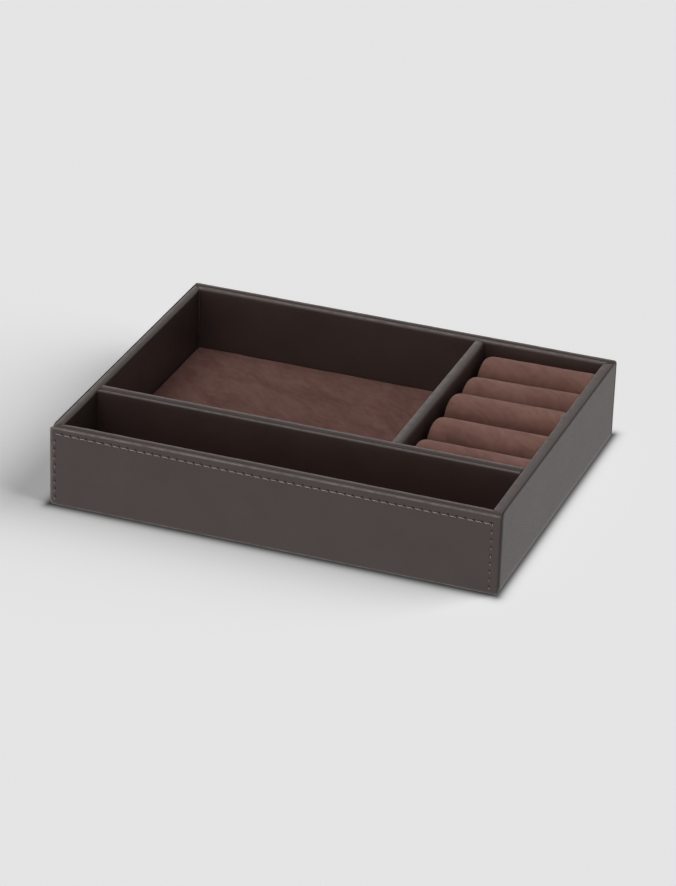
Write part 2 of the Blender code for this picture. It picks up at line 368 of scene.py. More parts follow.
def leather_grain_group() -> EffectGroup:
    """Builds the fine pebble of embossed leather, with slow changes of tone.

    Returns:
        The group.
    """
    warp_scale, warp_share = 0.45, 0.6
    pore_scale, pore_share = 2.3, 0.35
    crease_range = (0.45, 0.85)
    group = EffectGroup(
        "leather_grain",
        {"Place": None, "Pebble Size": 0.7 * MM, "Tone Size": 30 * MM},
        ["Height", "Crease", "Tone"],
    )
    wiring, given, results = group.wiring, group.given, group.results
    scale = wiring.cells(given["Pebble Size"])
    warp = wiring.noise(given["Place"], wiring.math("MULTIPLY", scale, warp_scale), 1.0)
    pebble = wiring.add(
        "ShaderNodeTexVoronoi",
        {"Vector": given["Place"], "Scale": scale, "Smoothness": 0.35, "Randomness": 0.95},
        feature="SMOOTH_F1",
    ).outputs["Distance"]
    dome = wiring.math("SUBTRACT", 1.0, pebble)
    pores = wiring.noise(given["Place"], wiring.math("MULTIPLY", scale, pore_scale), 2.0)
    height = wiring.math("MULTIPLY_ADD", pores, pore_share, dome)
    wiring.feed(results["Height"], wiring.math("MULTIPLY_ADD", warp, warp_share, height))
    wiring.feed(results["Crease"], wiring.remap(pebble, *crease_range))
    tone = wiring.noise(given["Place"], wiring.cells(given["Tone Size"]), 3.0)
    wiring.feed(results["Tone"], wiring.remap(tone, *NOISE_RANGE))
    return group


def streak_group() -> EffectGroup:
    """Builds short strokes that lie level on upright faces.

    Returns:
        The group.
    """
    stroke_range = (0.52, 0.72)
    group = EffectGroup(
        "level_streaks", {"Place": None, "Length": 5 * MM, "Width": 0.5 * MM}, ["Streak"]
    )
    wiring, given = group.wiring, group.given
    long_scale = wiring.cells(given["Length"])
    fine_scale = wiring.cells(given["Width"])
    scales = wiring.add("ShaderNodeCombineXYZ", {0: long_scale, 1: long_scale, 2: fine_scale})
    stroke = wiring.noise(wiring.stretch(given["Place"], scales.outputs[0]), 1.0, 2.0, 0.4)
    wiring.feed(group.results["Streak"], wiring.remap(stroke, *stroke_range))
    return group


def edge_wear_group() -> EffectGroup:
    """Builds the polish from wear and the painted highlight of edges: the edge's mask, broken up
    by noise.

    Returns:
        The group.
    """
    least_share = 0.35
    group = EffectGroup(
        "edge_wear", {"Place": None, "Edge": 0.0, "Patch Size": 6 * MM}, ["Wear"]
    )
    wiring, given = group.wiring, group.given
    patches = wiring.noise(given["Place"], wiring.cells(given["Patch Size"]), 4.0)
    share = wiring.remap(patches, *NARROW_NOISE_RANGE, least_share)
    wiring.feed(group.results["Wear"], wiring.math("MULTIPLY", given["Edge"], share))
    return group


def suede_nap_group() -> EffectGroup:
    """Builds brushed nap: broad strokes laid light or dark, and fine fuzz over them.

    Returns:
        The group.
    """
    slant = math.radians(38)
    stroke_stretch = (0.55, 1.25, 1.0)
    small_scale, small_share = 3.1, 0.45
    stroke_range = (0.36, 0.64)
    stroke_height = 1.5
    group = EffectGroup(
        "suede_nap",
        {"Place": None, "Stroke Size": 20 * MM, "Fuzz Size": 0.35 * MM},
        ["Stroke", "Fuzz", "Height"],
    )
    wiring, given, results = group.wiring, group.given, group.results
    scale = wiring.cells(given["Stroke Size"])
    slanted = wiring.add(
        "ShaderNodeVectorRotate", {"Vector": given["Place"], "Angle": slant},
        rotation_type="Z_AXIS",
    ).outputs[0]
    laid = wiring.stretch(slanted, stroke_stretch)
    broad = wiring.noise(laid, scale, 3.0, 0.9)
    small = wiring.noise(laid, wiring.math("MULTIPLY", scale, small_scale), 3.0, 1.4)
    broad_part = wiring.math("MULTIPLY", broad, 1 - small_share)
    stroke = wiring.math("MULTIPLY_ADD", small, small_share, broad_part)
    wiring.feed(results["Stroke"], wiring.remap(stroke, *stroke_range))
    fuzz = wiring.noise(given["Place"], wiring.cells(given["Fuzz Size"]), 3.0)
    wiring.feed(results["Fuzz"], wiring.remap(fuzz, *NOISE_RANGE))
    wiring.feed(results["Height"], wiring.math("MULTIPLY_ADD", stroke, stroke_height, fuzz))
    return group


def fibre_group() -> EffectGroup:
    """Builds tangled fibres or crumbs, for board, foam, thread and base cloth.

    Returns:
        The group.
    """
    group = EffectGroup(
        "fibres", {"Place": None, "Fibre Size": 0.6 * MM, "Stretch": 1.0}, ["Fibre", "Height"]
    )
    wiring, given, results = group.wiring, group.given, group.results
    factors = wiring.add("ShaderNodeCombineXYZ", {0: 1.0, 1: given["Stretch"], 2: 1.0})
    laid = wiring.stretch(given["Place"], factors.outputs[0])
    strands = wiring.noise(laid, wiring.cells(given["Fibre Size"]), 4.0, 1.5)
    wiring.feed(results["Fibre"], wiring.remap(strands, *NARROW_NOISE_RANGE))
    wiring.feed(results["Height"], strands)
    return group


class Effects:
    """All shared effects, each built once."""

    def __init__(self) -> None:
        """Builds the node groups."""
        self.grain = leather_grain_group()
        self.streaks = streak_group()
        self.wear = edge_wear_group()
        self.nap = suede_nap_group()
        self.fibres = fibre_group()


# Finishes

def start_material(
    name: str, **constants: object
) -> tuple[bpy.types.Material, Wiring, bpy.types.Node]:
    """Makes a material.

    Args:
        name: its name.
        constants: the shader's own sockets that are the same all over, with _ for spaces.

    Returns:
        The material, its wiring and its shader.
    """
    material = bpy.data.materials.new(name)
    material.use_nodes = True
    shader = material.node_tree.nodes["Principled BSDF"]
    for label, value in constants.items():
        shader.inputs[label.replace("_", " ")].default_value = value
    return material, Wiring(material.node_tree), shader


@dataclass(frozen=True)
class LeatherFinish:
    """Dark taupe leatherette: fine grain, level streaks, polish from wear with a painted highlight
    on edges, and painted shade in needle holes and seams.
    """

    name: str
    skin: Colour
    deep: Colour
    # Polish from wear with a painted highlight, along rims and folds.
    wear_highlight: Colour
    # Painted shade, near black, in needle pits and in seams.
    hole: Colour = (0.006, 0.005, 0.005)
    roughness: float = 0.44
    crease_matt: float = 0.12
    wear_polish: float = 0.08
    hole_matt: float = 0.5
    gloss_ior: float = 1.58
    pebble: float = 0.75 * MM
    grain_depth: float = 0.035 * MM
    tone_size: float = 28 * MM
    crease_strength: float = 0.35
    streak_length: float = 6 * MM
    streak_width: float = 0.7 * MM
    streak_strength: float = 0.30
    streak_dent: float = 0.4
    patch_size: float = 5 * MM

    def build(self, effects: Effects) -> bpy.types.Material:
        """Makes the material.

        Args:
            effects: the shared effects.

        Returns:
            The material.
        """
        material, wiring, shader = start_material(self.name, IOR=self.gloss_ior)
        place = wiring.place()
        grain = effects.grain.put_in(
            wiring, Place=place, Pebble_Size=self.pebble, Tone_Size=self.tone_size
        )
        streak = effects.streaks.put_in(
            wiring, Place=place, Length=self.streak_length, Width=self.streak_width
        )["Streak"]
        wear = effects.wear.put_in(
            wiring, Place=place, Edge=wiring.attribute(Mask.EDGE), Patch_Size=self.patch_size
        )["Wear"]
        hole = wiring.attribute(Mask.HOLE)
        # The wear layer paints polish from wear and a highlight along edges; the hole layer paints
        # shade in pits and seams.
        layers = (
            (wiring.math("MULTIPLY", streak, self.streak_strength), self.deep),
            (wiring.math("MULTIPLY", grain["Crease"], self.crease_strength), self.deep),
            (wear, self.wear_highlight),
            (hole, self.hole),
        )
        colour = wiring.blend(grain["Tone"], self.deep, self.skin)
        for share, tone in layers:
            colour = wiring.blend(share, colour, tone)
        wiring.feed(shader.inputs["Base Color"], colour)
        matt = wiring.math("MULTIPLY_ADD", grain["Crease"], self.crease_matt, self.roughness)
        polished = wiring.math("MULTIPLY_ADD", wear, -self.wear_polish, matt)
        rough = wiring.math("MULTIPLY_ADD", hole, self.hole_matt, polished)
        wiring.feed(shader.inputs["Roughness"], rough)
        height = wiring.math("MULTIPLY_ADD", streak, -self.streak_dent, grain["Height"])
        wiring.feed(shader.inputs["Normal"], wiring.bump(height, self.grain_depth))
        return material


@dataclass(frozen=True)
class SuedeFinish:
    """Dusty brown microfibre suede, with nap brushed both ways and a soft sheen.

    painted_highlight_tint and painted_shade_tint multiply the colour where the mesh's front mask
    is 0 and 1: they paint the highlight on a roll's back top and the shade on its low front.
    """

    name: str
    light: Colour
    dark: Colour
    painted_highlight_tint: Colour = (1.0, 1.0, 1.0)
    painted_shade_tint: Colour = (1.0, 1.0, 1.0)
    stroke_size: float = 20 * MM
    fuzz_size: float = 0.5 * MM
    fuzz_share: float = 0.25
    depth: float = 0.06 * MM
    roughness: float = 0.95
    specular: float = 0.2
    sheen: float = 0.2
    sheen_roughness: float = 0.45
    sheen_tint: Colour = (0.85, 0.62, 0.55)

    def build(self, effects: Effects) -> bpy.types.Material:
        """Makes the material.

        Args:
            effects: the shared effects.

        Returns:
            The material.
        """
        material, wiring, shader = start_material(
            self.name, Roughness=self.roughness, Specular_IOR_Level=self.specular,
            Sheen_Weight=self.sheen, Sheen_Roughness=self.sheen_roughness,
            Sheen_Tint=(*self.sheen_tint, 1.0),
        )
        nap = effects.nap.put_in(
            wiring, Place=wiring.place(), Stroke_Size=self.stroke_size, Fuzz_Size=self.fuzz_size
        )
        laid = wiring.blend(nap["Stroke"], self.dark, self.light)
        fuzz = wiring.math("MULTIPLY", nap["Fuzz"], self.fuzz_share)
        colour = wiring.blend(fuzz, laid, self.light)
        # Painted highlight and painted shade, by the mesh's front mask.
        if self.painted_highlight_tint != self.painted_shade_tint:
            tint = wiring.blend(wiring.attribute(Mask.FRONT), self.painted_highlight_tint, self.painted_shade_tint)
            colour = wiring.stretch(colour, tint)
        wiring.feed(shader.inputs["Base Color"], colour)
        wiring.feed(shader.inputs["Normal"], wiring.bump(nap["Height"], self.depth))
        return material


@dataclass(frozen=True)
class FibreFinish:
    """Board, foam, thread or cloth: two tones of fibre."""

    name: str
    light: Colour
    dark: Colour
    fibre_size: float
    stretch: float = 1.0
    depth: float = 0.05 * MM
    roughness: float = 0.9
    fibre_polish: float = 0.1
    specular: float = 0.2

    def build(self, effects: Effects) -> bpy.types.Material:
        """Makes the material.

        Args:
            effects: the shared effects.

        Returns:
            The material.
        """
        material, wiring, shader = start_material(self.name, Specular_IOR_Level=self.specular)
        fibre = effects.fibres.put_in(
            wiring, Place=wiring.place(), Fibre_Size=self.fibre_size, Stretch=self.stretch
        )
        tone = wiring.blend(fibre["Fibre"], self.dark, self.light)
        wiring.feed(shader.inputs["Base Color"], tone)
        rough = wiring.math("MULTIPLY_ADD", fibre["Fibre"], -self.fibre_polish, self.roughness)
        wiring.feed(shader.inputs["Roughness"], rough)
        wiring.feed(shader.inputs["Normal"], wiring.bump(fibre["Height"], self.depth))
        return material


LEATHER = LeatherFinish(
    "taupe_leather",
    skin=(0.044, 0.0280, 0.0245),
    deep=(0.034, 0.0208, 0.0182),
    wear_highlight=(0.172, 0.1410, 0.1290),
)
SUEDE = SuedeFinish(
    "dusty_brown_suede", light=(0.155, 0.082, 0.070), dark=(0.099, 0.044, 0.037)
)
# The rolls' suede is lighter than the pads', with a painted highlight on each roll's back top and
# painted shade on its low front.
ROLL_SUEDE = SuedeFinish(
    "roll_suede", light=(0.215, 0.116, 0.094), dark=(0.145, 0.072, 0.058),
    painted_highlight_tint=(1.45, 1.53, 1.58), painted_shade_tint=(0.62, 0.56, 0.53), stroke_size=26 * MM,
)
THREAD = FibreFinish(
    "dusty_pink_thread", light=(0.42, 0.35, 0.325), dark=(0.22, 0.175, 0.16),
    fibre_size=0.3 * MM, stretch=2.0, depth=0.03 * MM,
)
BOARD = FibreFinish(
    "grey_board", light=(0.34, 0.31, 0.27), dark=(0.24, 0.215, 0.18), fibre_size=0.8 * MM
)
DARK_CARD = FibreFinish(
    "dark_card", light=(0.042, 0.032, 0.029), dark=(0.026, 0.019, 0.017), fibre_size=0.8 * MM
)
FOAM = FibreFinish(
    "cream_foam", light=(0.66, 0.61, 0.50), dark=(0.50, 0.45, 0.35), fibre_size=0.5 * MM,
    depth=0.15 * MM,
)
BASE_CLOTH = FibreFinish(
    "black_base_cloth", light=(0.040, 0.034, 0.032), dark=(0.018, 0.016, 0.015),
    fibre_size=0.7 * MM, stretch=3.0, depth=0.08 * MM,
)


class Workshop:
    """The finished materials, and how a piece is handed over."""

    def __init__(self, effects: Effects) -> None:
        """Builds the materials.

        Args:
            effects: the shared effects.
        """
        self.leather = LEATHER.build(effects)
        self.suede = SUEDE.build(effects)
        self.roll_suede = ROLL_SUEDE.build(effects)
        self.thread = THREAD.build(effects)
        self.board = BOARD.build(effects)
        self.dark_card = DARK_CARD.build(effects)
        self.foam = FOAM.build(effects)
        self.base_cloth = BASE_CLOTH.build(effects)

    def hand_over(self, piece: bpy.types.Object, material: bpy.types.Material,
                  nodes: Iterable[str] = ()) -> bpy.types.Object:
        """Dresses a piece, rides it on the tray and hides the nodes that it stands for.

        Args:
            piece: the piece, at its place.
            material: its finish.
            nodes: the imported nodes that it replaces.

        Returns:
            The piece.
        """
        piece.data.materials.clear()
        piece.data.materials.append(material)
        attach(piece, "root")
        if nodes:
            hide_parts(*nodes)
        log.info("%s: %d points", piece.name, len(piece.data.vertices))
        return piece

    def dress_node(self, node: str, material: bpy.types.Material) -> None:
        """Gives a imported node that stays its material."""
        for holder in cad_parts[node].material_slots:
            holder.material = material
        log.info("%s: stays as packed", node)


# Sheets made from grids of points

@dataclass(frozen=True)
class Board:
    """Where a board is: its outer face's centre, the way that it looks, and its size."""

    centre: Vector
    facing: Facing
    along: float
    across: float
    deep: float

    @classmethod
    def of_node(cls, node: str, facing: Facing) -> "Board":
        """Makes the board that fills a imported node's box.

        Args:
            node: the node's name.
            facing: the way that the board looks.

        Returns:
            The board.
        """
        low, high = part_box(node)
        size = high - low
        axes = [Vector(axis) for axis in facing.value]
        spans = [abs(axis.dot(size)) for axis in axes]
        centre = (low + high) / 2 + axes[2] * spans[2] / 2
        return cls(centre, facing, *spans)

    def point(self, along: float, across: float, back: float) -> Vector:
        """Returns the place at these distances from the outer face's centre."""
        right, upward, outward = (Vector(axis) for axis in self.facing.value)
        return self.centre + right * along + upward * across - outward * back


@dataclass
class Skin:
    """A sheet that is built from a grid of points, with masks for its material."""

    name: str
    points: Grid
    masks: dict[Mask, list[list[float]]] = field(default_factory=dict)

    def build(self, thickness: float = 0.0) -> bpy.types.Object:
        """Makes the object.

        Args:
            thickness: how thick the sheet is, inwards from its points.

        Returns:
            The object, in the scene.
        """
        rows = len(self.points)
        columns = len(self.points[0])
        faces = [
            (
                row * columns + column,
                (row + 1) * columns + column,
                (row + 1) * columns + column + 1,
                row * columns + column + 1,
            )
            for row in range(rows - 1)
            for column in range(columns - 1)
        ]
        piece = add_mesh(self.name, (point for row in self.points for point in row), faces)
        for mask, values in self.masks.items():
            write_mask(piece, mask, [value for row in values for value in row])
        if thickness:
            sheet = piece.modifiers.new("sheet", "SOLIDIFY")
            sheet.thickness = thickness
            sheet.offset = -1.0
            sheet.use_even_offset = False
        return piece


@dataclass(frozen=True)
class Waves:
    """The slight unevenness that glue and board give the leather or suede over them."""

    height: float
    length: float
    seed: int
    seed_step: tuple[float, float, float] = (1.7, 0.9, 2.3)

    def ripple(self, piece: bpy.types.Object) -> None:
        """Moves a mesh's points in and out by up to height, in waves of that length.

        Args:
            piece: the mesh object.
        """
        vertices = piece.data.vertices
        shift = Vector([self.seed * step for step in self.seed_step])
        for vertex, normal in zip(vertices, [vertex.normal.copy() for vertex in vertices]):
            vertex.co += normal * self.height * noise.noise(vertex.co / self.length + shift)
        piece.data.update()


# Wrapped walls and dividers

@dataclass(frozen=True)
class Rim:
    """How far a wrapped rim is rounded over, towards its outer and towards its inner face.

    crown is how much lower the top's two edges lie than its middle. A line on the top is polished
    by wear and has a painted highlight over it: wear_highlight_in is how far it lies in from the
    inner edge, or from the outer one where wear_highlight_outer says so, wear_highlight_under how
    far under the top, wear_highlight_width how wide it is and wear_highlight_share how strong.
    outer_fall is how far down the outer face the rounding reaches, where that isn't as far as it
    reaches over the top.
    """

    outer: float
    inner: float
    crown: float = 0.10 * MM
    wear_highlight_outer: bool = False
    wear_highlight_in: float = 0.15 * MM
    wear_highlight_under: float = 0.15 * MM
    wear_highlight_width: float = 0.8 * MM
    wear_highlight_share: float = 1.0
    outer_fall: float | None = None

    def falls(self) -> tuple[float, float]:
        """Returns how far down the outer and the inner face the rounding reaches."""
        return (self.outer if self.outer_fall is None else self.outer_fall, self.inner)

    def crown_drop(self, back: float, deep: float) -> float:
        """Returns what the crown takes off the height, at that distance from the outer face."""
        return self.crown * (2 * back / deep - 1) ** 2

    def drop(self, back: float, deep: float) -> float:
        """Works out how far under the top the rim lies.

        Args:
            back: distance from the outer face.
            deep: the board's depth.

        Returns:
            How far it lies under the top.
        """
        crown = self.crown_drop(back, deep)
        outer_fall, inner_fall = self.falls()
        sides = ((self.outer, outer_fall, back), (self.inner, inner_fall, deep - back))
        for reach, fall, away in sides:
            if away < reach:
                return crown + fall * (1 - math.sqrt(max(1 - (1 - away / reach) ** 2, 0.0)))
        return crown


@dataclass(frozen=True)
class Lump:
    """A spot on the inner edge of a rim where the leather bulges inwards.

    along is its place from the board's middle, out how far it stands out, length how far it
    spreads along the rim, and reach how far it spreads over the top and down the face.
    """

    along: float
    length: float
    out: float
    reach: float

    def push(self, along: float, from_inner: float, from_top: float) -> float:
        """Returns how far inwards the leather is pushed there."""
        share = bell(along - self.along, self.length)
        share *= bell(from_inner, self.reach) * bell(from_top, self.reach)
        return self.out * share


@dataclass
class WrappedBoard:
    """Leather over the rim and down both faces of a board that stands on the base.

    neighbours holds the walls that its two ends are mitred to. Without them the ends are square
    and the leather closes over them.
    """

    node: str
    facing: Facing
    rim: Rim
    seed: int
    neighbours: "tuple[WrappedBoard, WrappedBoard] | None" = None
    lump: Lump | None = None
    leather: float = 0.6 * MM
    shoulder_steps: int = 8
    face_step: float = 3.0 * MM
    station_step: float = 2.5 * MM
    end_stations: tuple[float, ...] = (
        0.0, 0.25 * MM, 0.5 * MM, 0.8 * MM, 1.2 * MM, 1.7 * MM, 2.4 * MM, 3.6 * MM
    )
    seam_dip: float = 0.25 * MM
    seam_reach: float = 0.5 * MM
    seam_blend: float = 3.0 * MM
    end_round: float = 1.1 * MM
    end_overhang: float = 0.12 * MM
    end_closing: float = 0.98
    wave_height: float = 0.10 * MM
    wave_length: float = 14 * MM

    def __post_init__(self) -> None:
        """Reads the wall's place and size."""
        self.board = Board.of_node(self.node, self.facing)

    def profile(self) -> list[tuple[float, float, float]]:
        """Works out the section over the rim.

        Returns:
            (distance from the outer face, height, edge mask) from the outer foot to the inner.
        """
        deep, tall, rim = self.board.deep, self.board.across, self.rim
        outer_fall, inner_fall = rim.falls()
        points = [(0.0, height) for height in spaced(0, tall - outer_fall, self.face_step)]
        shoulders = (
            (rim.outer, rim.outer, outer_fall, 180),
            (deep - rim.inner, rim.inner, inner_fall, 90),
        )
        for centre, reach, fall, start in shoulders:
            for angle in spaced(start, start - 90, 90 / self.shoulder_steps):
                turn = math.radians(angle)
                points.append((
                    centre + reach * math.cos(turn),
                    tall - fall + fall * math.sin(turn),
                ))
        points += [(deep, height) for height in spaced(tall - rim.inner, 0, self.face_step)[1:]]
        apart = [
            point for index, point in enumerate(points)
            if not index or math.dist(point, points[index - 1]) > TINY
        ]
        # Where the line of polish from wear and painted highlight lies, and how strong it is at
        # each point.
        wear_highlight = (rim.wear_highlight_in if rim.wear_highlight_outer else deep - rim.wear_highlight_in, tall - rim.wear_highlight_under)
        shaped = []
        for back, height in apart:
            drop = rim.crown_drop(back, deep)
            drop *= smooth_step(height, tall - max(rim.falls()), tall)
            wear = rim.wear_highlight_share * bell(math.dist((back, height), wear_highlight), rim.wear_highlight_width)
            shaped.append((back, height - drop, wear))
        return shaped

    def stations(self, half: float) -> list[float]:
        """Returns places from one end to the other, close together near both ends."""
        left = [-half + step for step in self.end_stations]
        right = [half - step for step in reversed(self.end_stations)]
        return joined_runs(left, spaced(left[-1], right[0], self.station_step), right)

    def mitre_drop(self, back: float, height: float, gap: float, other: "WrappedBoard") -> float:
        """Works out how the rim meets its neighbour's halfway, with a fine dip at the seam.

        Args:
            back: distance from the outer face.
            height: height over the foot.
            gap: distance from the mitre.
            other: the wall on the mitre's other side.

        Returns:
            How far the leather lies lower there.
        """
        deep, tall = self.board.deep, self.board.across
        if height < tall - max(self.rim.falls()):
            return 0.0
        own = self.rim.drop(back, deep)
        share = back / deep
        theirs = other.rim.drop(share * other.board.deep, other.board.deep)
        level = (theirs - own) / 2 * math.exp(-gap / self.seam_blend)
        dip = self.seam_dip * math.exp(-gap / self.seam_reach)
        return level + dip * smooth_step(height, tall - deep, tall)

    def end_drop(self, height: float, gap: float) -> float:
        """Works out how far a square end's rim is rounded down.

        Args:
            height: height over the foot.
            gap: distance from the end.

        Returns:
            How far the leather lies lower there.
        """
        if gap >= self.end_round:
            return 0.0
        fall = self.end_round - math.sqrt(self.end_round**2 - (self.end_round - gap) ** 2)
        tall = self.board.across
        return fall * smooth_step(height, tall - 3 * self.end_round, tall)

    def spot(self, station: float, half: float, back: float, height: float) -> Vector:
        """Works out where a point of the profile lies at one station.

        Args:
            station: how far along the outer face the station is, from the board's middle.
            half: half the outer face's length.
            back: the point's distance from the outer face.
            height: its height over the foot.

        Returns:
            Its place, between the mitres or under the rounding of a square end.
        """
        board = self.board
        reach = half
        other = self.neighbours[0 if station < 0 else 1] if self.neighbours else None
        if other:
            reach -= back * other.board.deep / board.deep
        along = station * reach / half
        gap = reach - abs(along)
        drop = self.mitre_drop(back, height, gap, other) if other else self.end_drop(height, gap)
        push = 0.0
        if self.lump:
            push = self.lump.push(along, board.deep - back, board.across - height)
        return board.point(along, height - drop - board.across / 2, back + push)

    def build(self, shop: Workshop) -> bpy.types.Object:
        """Makes the leather and hands it over in place of its node.

        Args:
            shop: the workshop.

        Returns:
            The leather.
        """
        half = self.board.along / 2 + (0.0 if self.neighbours else self.end_overhang)
        profile = self.profile()
        points = [
            [self.spot(station, half, back, height) for back, height, _ in profile]
            for station in self.stations(half)
        ]
        if not self.neighbours:
            points = [self.closed(points[0]), *points, self.closed(points[-1])]
        edges = [[edge for _, _, edge in profile]] * len(points)
        piece = Skin(self.node + "_dressed", points, {Mask.EDGE: edges}).build(self.leather)
        Waves(self.wave_height, self.wave_length, self.seed).ripple(piece)
        return shop.hand_over(piece, shop.leather, [self.node])

    def closed(self, row: list[Vector]) -> list[Vector]:
        """Draws an end's outline together to its middle plane.

        Args:
            row: the outline.

        Returns:
            The outline, nearly closed.
        """
        outward = Vector(self.facing.value[2])
        middle = self.board.point(0, 0, self.board.deep / 2).dot(outward)
        return [
            point - outward * (point.dot(outward) - middle) * self.end_closing for point in row
        ]


@dataclass
class WrappedWalls:
    """The four mitred walls and the three wrapped dividers.

    The hand-wrapped rims differ: the left wall and the short divider are rounded most towards
    the right, and edges that face the groove of a glued joint are rounder than the others.
    """

    right_lump: Lump = Lump(along=26 * MM, length=4.0 * MM, out=1.6 * MM, reach=2.4 * MM)
    walls: tuple[tuple[str, Facing, Rim], ...] = (
        ("front_wall_leather", Facing.FRONT, Rim(1.9 * MM, 0.5 * MM)),
        (
            "right_wall_leather", Facing.RIGHT,
            Rim(
                0.8 * MM, 1.1 * MM, 0.16 * MM, wear_highlight_in=0.4 * MM, wear_highlight_width=0.7 * MM,
                wear_highlight_share=0.8,
            ),
        ),
        (
            "back_wall_leather", Facing.BACK,
            Rim(2.0 * MM, 1.6 * MM, wear_highlight_in=0.95 * MM, wear_highlight_width=0.5 * MM),
        ),
        (
            "left_wall_leather", Facing.LEFT,
            Rim(
                0.5 * MM, 2.2 * MM, 0.50 * MM, wear_highlight_outer=True, wear_highlight_in=0.9 * MM,
                wear_highlight_width=2.6 * MM, wear_highlight_share=0.45,
            ),
        ),
    )
    dividers: tuple[tuple[str, Facing, Rim], ...] = (
        (
            "long_divider_front_leather", Facing.FRONT,
            Rim(
                0.8 * MM, 2.6 * MM, wear_highlight_outer=True, wear_highlight_in=0.8 * MM, wear_highlight_width=0.5 * MM,
                wear_highlight_share=0.6,
            ),
        ),
        (
            "long_divider_rear_leather", Facing.FRONT,
            Rim(1.9 * MM, 0.5 * MM, wear_highlight_in=0.75 * MM, wear_highlight_width=0.85 * MM),
        ),
        (
            "short_divider_leather", Facing.RIGHT,
            Rim(
                2.5 * MM, 1.2 * MM, 0.25 * MM, wear_highlight_in=0.8 * MM, wear_highlight_width=2.8 * MM,
                wear_highlight_share=0.65, outer_fall=4.2 * MM,
            ),
        ),
    )

    def build(self, shop: Workshop) -> None:
        """Builds the walls, each between the ones before and after it, then the dividers.

        Args:
            shop: the workshop.
        """
        walls = [
            WrappedBoard(node, facing, rim, seed + 1)
            for seed, (node, facing, rim) in enumerate(self.walls)
        ]
        for index, wall in enumerate(walls):
            wall.neighbours = (walls[index - 1], walls[(index + 1) % len(walls)])
            if wall.facing is Facing.RIGHT:
                wall.lump = self.right_lump
        for wall in walls:
            wall.build(shop)
        for seed, (node, facing, rim) in enumerate(self.dividers):
            WrappedBoard(node, facing, rim, seed + 11).build(shop)


# Covers folded over flat boards

@dataclass(frozen=True)
class CoverEdge:
    """How a cover goes over an edge of its board, how much shade is painted dark and matt on its
    fold there, and how much of the polish from wear and the painted highlight it keeps.

    corner is how far its rounded corners reach, fold how deep the fold over the edge goes, and
    reach how far over the face the fold begins, where that isn't as much.
    """

    corner: float
    fold: float
    seam_shade: float = 0.0
    reach: float | None = None
    glow: float = 1.0

    def over_face(self) -> float:
        """Returns how far over the face the fold begins."""
        return self.fold if self.reach is None else self.reach


